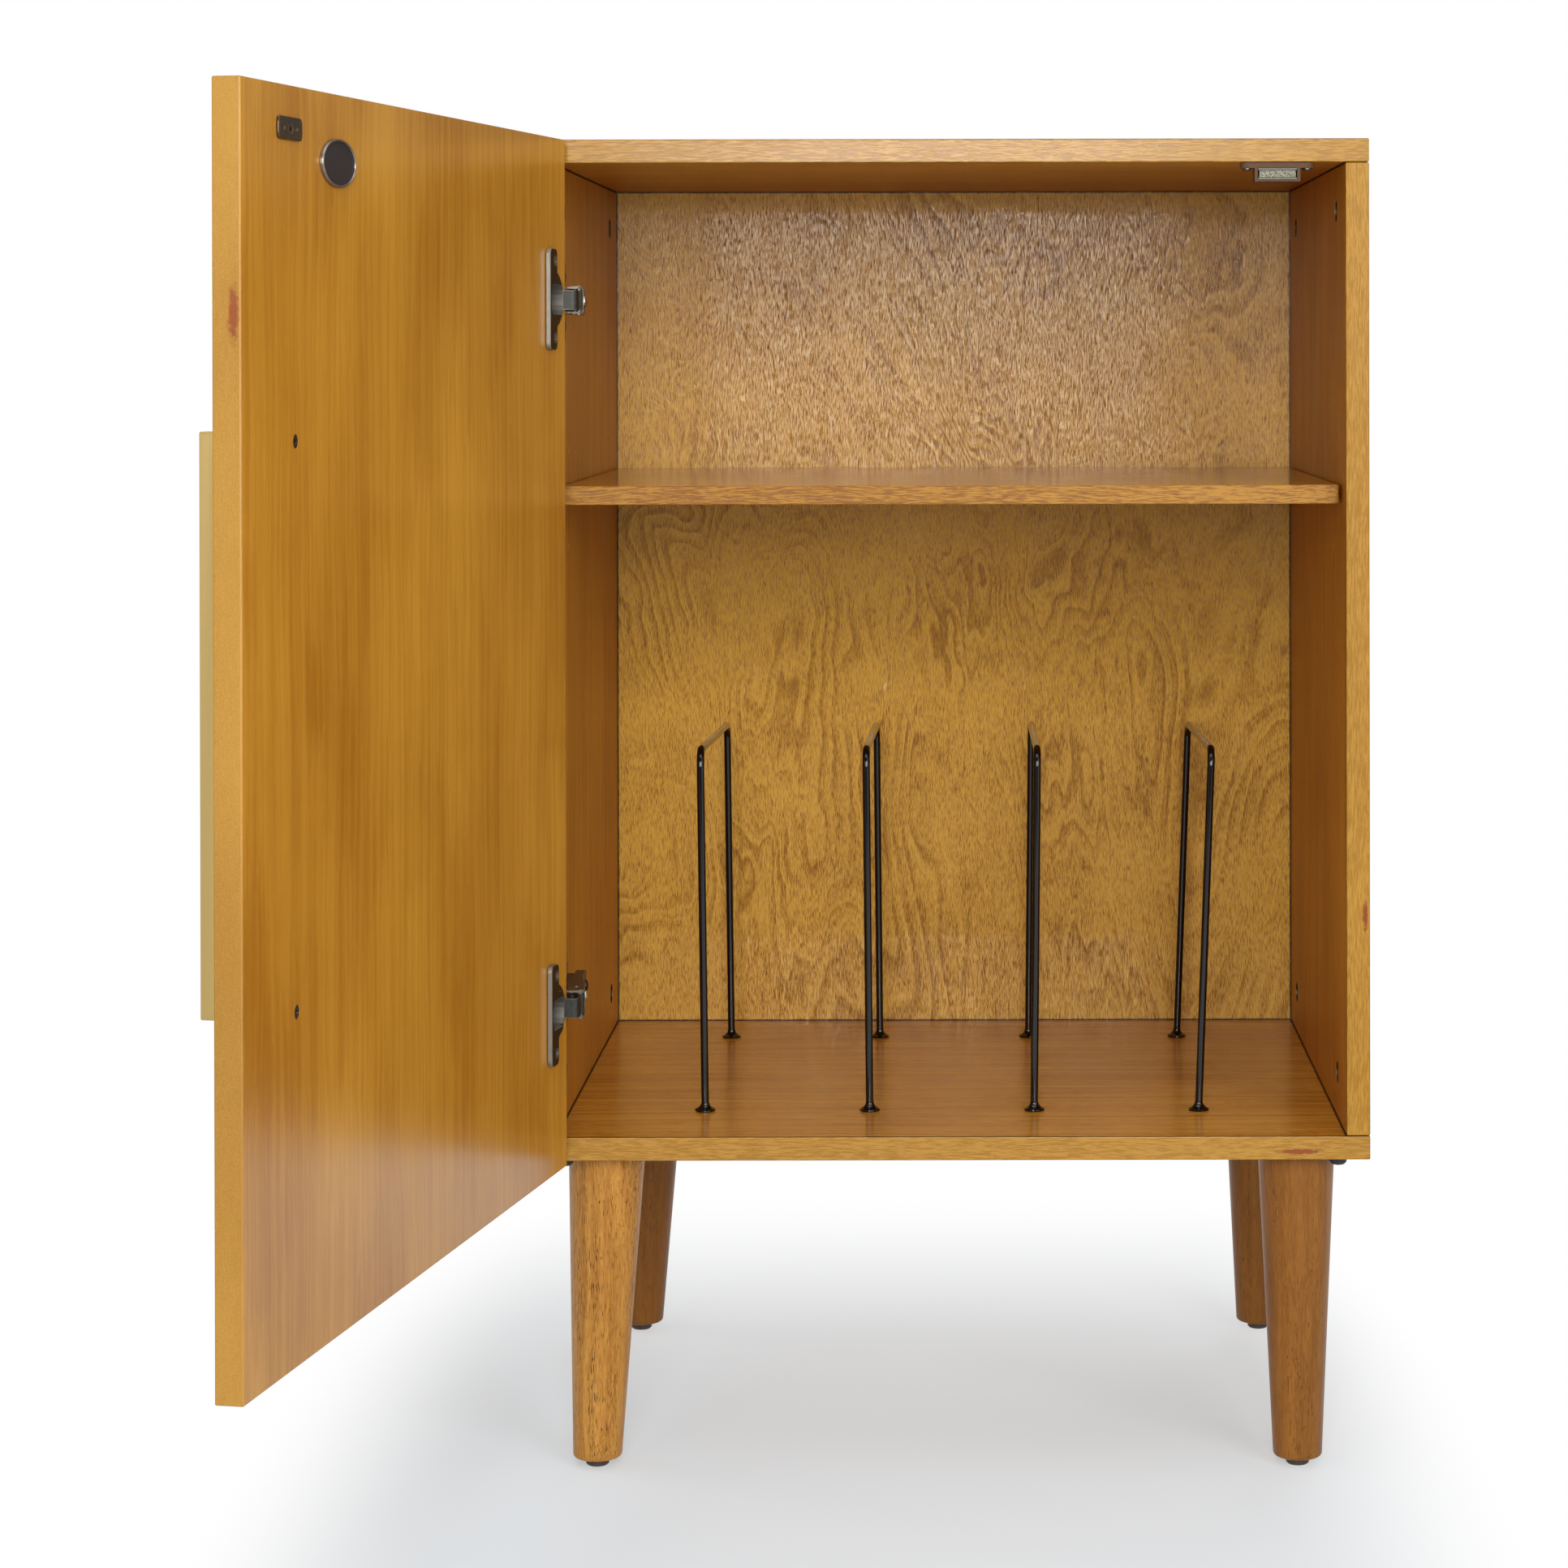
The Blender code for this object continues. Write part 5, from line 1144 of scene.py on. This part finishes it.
class STAND_OT_badge(StandOperator):
    """Make the plain oval badge: bright rim, bare black face"""

    bl_idname = "stand.badge"
    bl_label = "Badge"

    def execute(self, context):
        """Rings from the outer wall over the rim down to the slightly domed face."""
        size = sizes()
        low, high = extent("badge", OUT_OF_DOOR)
        half_wide = size.badge_wide / 2
        half_tall = (high.y - low.y) / 2
        thick = high.z - low.z
        rim = size.badge_rim
        steps = [(0, 0), (0, 0.55)]
        for angle in (30, 60, 90, 120, 150):
            turn = math.radians(angle)
            steps.append((rim / 2 * (1 - math.cos(turn)), 0.55 + 0.45 * math.sin(turn)))
        rim_bands = len(steps)
        steps += [(rim, 0.6), (rim + 0.0003, 0.5), (rim + 0.002, 0.56), (rim + 0.005, 0.62)]
        shape = bmesh.new()
        rings = []
        for inset, share in steps:
            ring = [((half_wide - inset) * x, (half_tall - inset) * y, share * thick)
                    for x, y in circle_points(1, BADGE_SIDES)]
            rings.append([shape.verts.new(point) for point in ring])
        rings.append([shape.verts.new((0, 0, 0.66 * thick))])
        for band in skin(shape, rings)[rim_bands:]:
            for face in band:
                face.material_index = 1
        shape.faces.new(rings[0][::-1])
        middle = extent("door_panel", OUT_OF_DOOR)[1].x - size.badge_from_edge
        place = OUT_OF_DOOR @ Matrix.Translation((middle, (low.y + high.y) / 2, low.z))
        item = mesh_object("badge_oval", shape, place)
        finish_piece(item, "door", "badge_rim_chrome black_badge_enamel", "badge_chrome", "badge")
        return {"FINISHED"}


class STAND_OT_catch(StandOperator):
    """Finish the magnetic catch and its two screws"""

    bl_idname = "stand.catch"
    bl_label = "Magnetic catch"

    def execute(self, context):
        """Body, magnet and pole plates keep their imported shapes."""
        dress("catch_body", "brown_catch_plastic")
        dress("catch_magnet", "ferrite_magnet")
        for level in LEVELS:
            dress("catch_pole_" + level, "dull_pole_steel")
        for side in ("left", "right"):
            cross_head_screw("catch_screw_" + side, DOWN, "cabinet", "aged_nickel_hinge",
                             "bright_steel", True)
        return {"FINISHED"}


class STAND_OT_hinges(StandOperator):
    """Finish both concealed hinges and give their screws a cross recess"""

    bl_idname = "stand.hinges"
    bl_label = "Concealed hinges"

    def execute(self, context):
        """Arms, links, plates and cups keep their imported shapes."""
        finishes = {"cup": "browned_nickel_cup", "arm": "aged_nickel_hinge",
                    "plate": "aged_nickel_hinge", "outer_link": "dark_steel_link",
                    "inner_link": "dark_steel_link", "adjusting_screw": "bright_steel_parts"}
        for level in LEVELS:
            for part, finish in finishes.items():
                dress("hinge_" + part + "_" + level, finish)
            for end in LEVELS:
                cross_head_screw("hinge_cup_screw_" + level + "_" + end, OUT_OF_DOOR, "door",
                                 "dull_pole_steel", "bright_steel")
            cross_head_screw("hinge_fixing_screw_" + level, SIDEWAYS, "cabinet",
                             "blackened_screw", "bright_steel", True)
        return {"FINISHED"}


class STAND_OT_studio(StandOperator):
    """Lay the pale floor, hang the lamps and place the camera"""

    bl_idname = "stand.studio"
    bl_label = "Studio"

    def execute(self, context):
        """Camera first, then the world, the floor, the cards and the lamps."""
        studio = context.scene.stand_studio
        self.camera()
        self.world(studio)
        self.floor(studio)
        for name, (middle, half) in CARDS.items():
            self.dark_card(name, middle, half)
        for name, (place, aim, wide, tall) in LAMPS.items():
            self.lamp(name + "_softbox", place, aim, wide, tall, getattr(studio, name))
        return {"FINISHED"}

    def camera(self):
        """The picture's viewpoint, a little above the cabinet's middle and level."""
        data = bpy.data.cameras.new("picture_camera")
        data.sensor_width = 36.0
        data.lens = 82.36
        data.shift_x = -0.1215
        data.shift_y = -0.2637
        data.clip_start = 0.05
        data.clip_end = 100.0
        item = linked("picture_camera", data)
        item.location = (0.070986, -2.211549, 0.7151)
        item.rotation_euler = (math.radians(89.78), 0.0018, 0)
        bpy.context.scene.camera = item

    def world(self, studio):
        """Even pale light all round, seen as plain white."""
        world = bpy.data.worlds.new("studio_world")
        world.use_nodes = True
        bpy.context.scene.world = world
        net = Wiring(world.node_tree)
        background = world.node_tree.nodes["Background"]
        background.inputs["Color"].default_value = (1, 1, 1, 1)
        seen = net.seen_directly()
        level = net.fill(net.add("MapRange"), seen, 0.0, 1.0, studio.world, 1.0)
        net.feed(background.inputs["Strength"], level[0])

    def floor(self, studio):
        """A wide floor that takes the stand's shadow, lifted by a painted glow, and fades to plain
        white further off.
        """
        shape = bmesh.new()
        bmesh.ops.create_grid(shape, x_segments=40, y_segments=40, size=30)
        item = mesh_object("studio_floor", shape)
        surface = Surface("studio_floor")
        item.data.materials.append(surface.material)
        shade = surface.ease(surface.noise(surface.place, 3.0, 2.0), 0.3, 0.7, 0.985, 1.0)
        surface.paint(surface.scaled(rgba("floor")[:3], shade), 0.9, 0.1)
        # Seen directly the floor glows, in full beyond a box round the stand and by the shadow
        # lift share inside it: the grey near the stand is its real shadow lifted by painted light,
        # with painted shade where the glow drops off.
        around = surface.vector("ADD", surface.place, (0.0, 0.1, 0.0))
        around = surface.vector("ABSOLUTE", around)
        beyond = surface.vector("SUBTRACT", around, (0.24, 0.3, 0.0))
        beyond = surface.vector("MAXIMUM", beyond, (0.0, 0.0, 0.0))
        away = surface.measure("LENGTH", surface.stretch(beyond, (1.0, 0.256, 0.0)))
        painted_glow = surface.ease(away, studio.white_from, studio.white_by)
        painted_glow = surface.onto(painted_glow, 1.0 - studio.shadow_lift, studio.shadow_lift)
        glow = surface.fill(surface.add("Emission"), strength=1.0)
        share = surface.times(painted_glow, surface.seen_directly())
        blend = surface.fill(surface.add("MixShader"), share, surface.shader.outputs[0], glow[0])
        output = surface.tree.nodes["Material Output"]
        surface.feed(output.inputs["Surface"], blend[0])

    def dark_card(self, name, middle, half):
        """An upright card, seen only in gloss, that keeps the white out of the lacquer."""
        shape = bmesh.new()
        bmesh.ops.create_grid(shape, x_segments=8, y_segments=8, size=half)
        turn = Matrix.Rotation(math.pi / 2, 4, "X")
        item = mesh_object(name, shape, Matrix.Translation(middle) @ turn)
        surface = Surface(name)
        item.data.materials.append(surface.material)
        mottle = surface.noise(surface.place, 40.0, 2.0)
        tint = surface.mix(mottle, (0.03, 0.03, 0.03, 1), (0.05, 0.05, 0.05, 1))
        surface.paint(tint, 0.9)
        for ray in ("camera", "diffuse", "shadow", "transmission"):
            setattr(item, "visible_" + ray, False)

    def lamp(self, name, place, aim, wide, tall, power):
        """A soft rectangular lamp that looks at a point."""
        data = bpy.data.lights.new(name, "AREA")
        data.shape = "RECTANGLE"
        data.size = wide
        data.size_y = tall
        data.energy = power
        item = linked(name, data)
        item.location = place
        item.rotation_euler = (Vector(aim) - Vector(place)).to_track_quat("-Z", "Y").to_euler()


OPERATORS = (
    STAND_OT_finishes,
    STAND_OT_boards,
    STAND_OT_legs,
    STAND_OT_dividers,
    STAND_OT_shelf_pins,
    STAND_OT_cams,
    STAND_OT_handle,
    STAND_OT_strike,
    STAND_OT_badge,
    STAND_OT_catch,
    STAND_OT_hinges,
    STAND_OT_studio,
)
GROUPS = {"stand_colours": StandColours, "stand_sizes": StandSizes, "stand_studio": StudioSettings}


class STAND_PT_panel(Panel):
    """Lists the stand's settings and operators"""

    bl_label = "Record player stand"
    bl_space_type = "VIEW_3D"
    bl_region_type = "UI"
    bl_category = "Stand"

    def draw(self, context):
        """Operators first, then the settings."""
        for operator in OPERATORS:
            self.layout.operator(operator.bl_idname)
        for group in GROUPS:
            column = self.layout.column(heading=group)
            settings = getattr(context.scene, group)
            for name in settings.bl_rna.properties.keys():
                if name not in ("rna_type", "name"):
                    column.prop(settings, name)


def register():
    """Register the settings, the operators and the panel."""
    for name, group in GROUPS.items():
        bpy.utils.register_class(group)
        setattr(bpy.types.Scene, name, PointerProperty(type=group))
    for item in (*OPERATORS, STAND_PT_panel):
        bpy.utils.register_class(item)


def unregister():
    """Undo register."""
    for item in (STAND_PT_panel, *reversed(OPERATORS)):
        bpy.utils.unregister_class(item)
    for name, group in GROUPS.items():
        delattr(bpy.types.Scene, name)
        bpy.utils.unregister_class(group)


def main():
    """Make everything in order."""
    register()
    bpy.context.scene.view_settings.view_transform = "Standard"
    for operator in OPERATORS:
        group, action = operator.bl_idname.split(".")
        getattr(getattr(bpy.ops, group), action)()


if __name__ == "__main__":
    main()
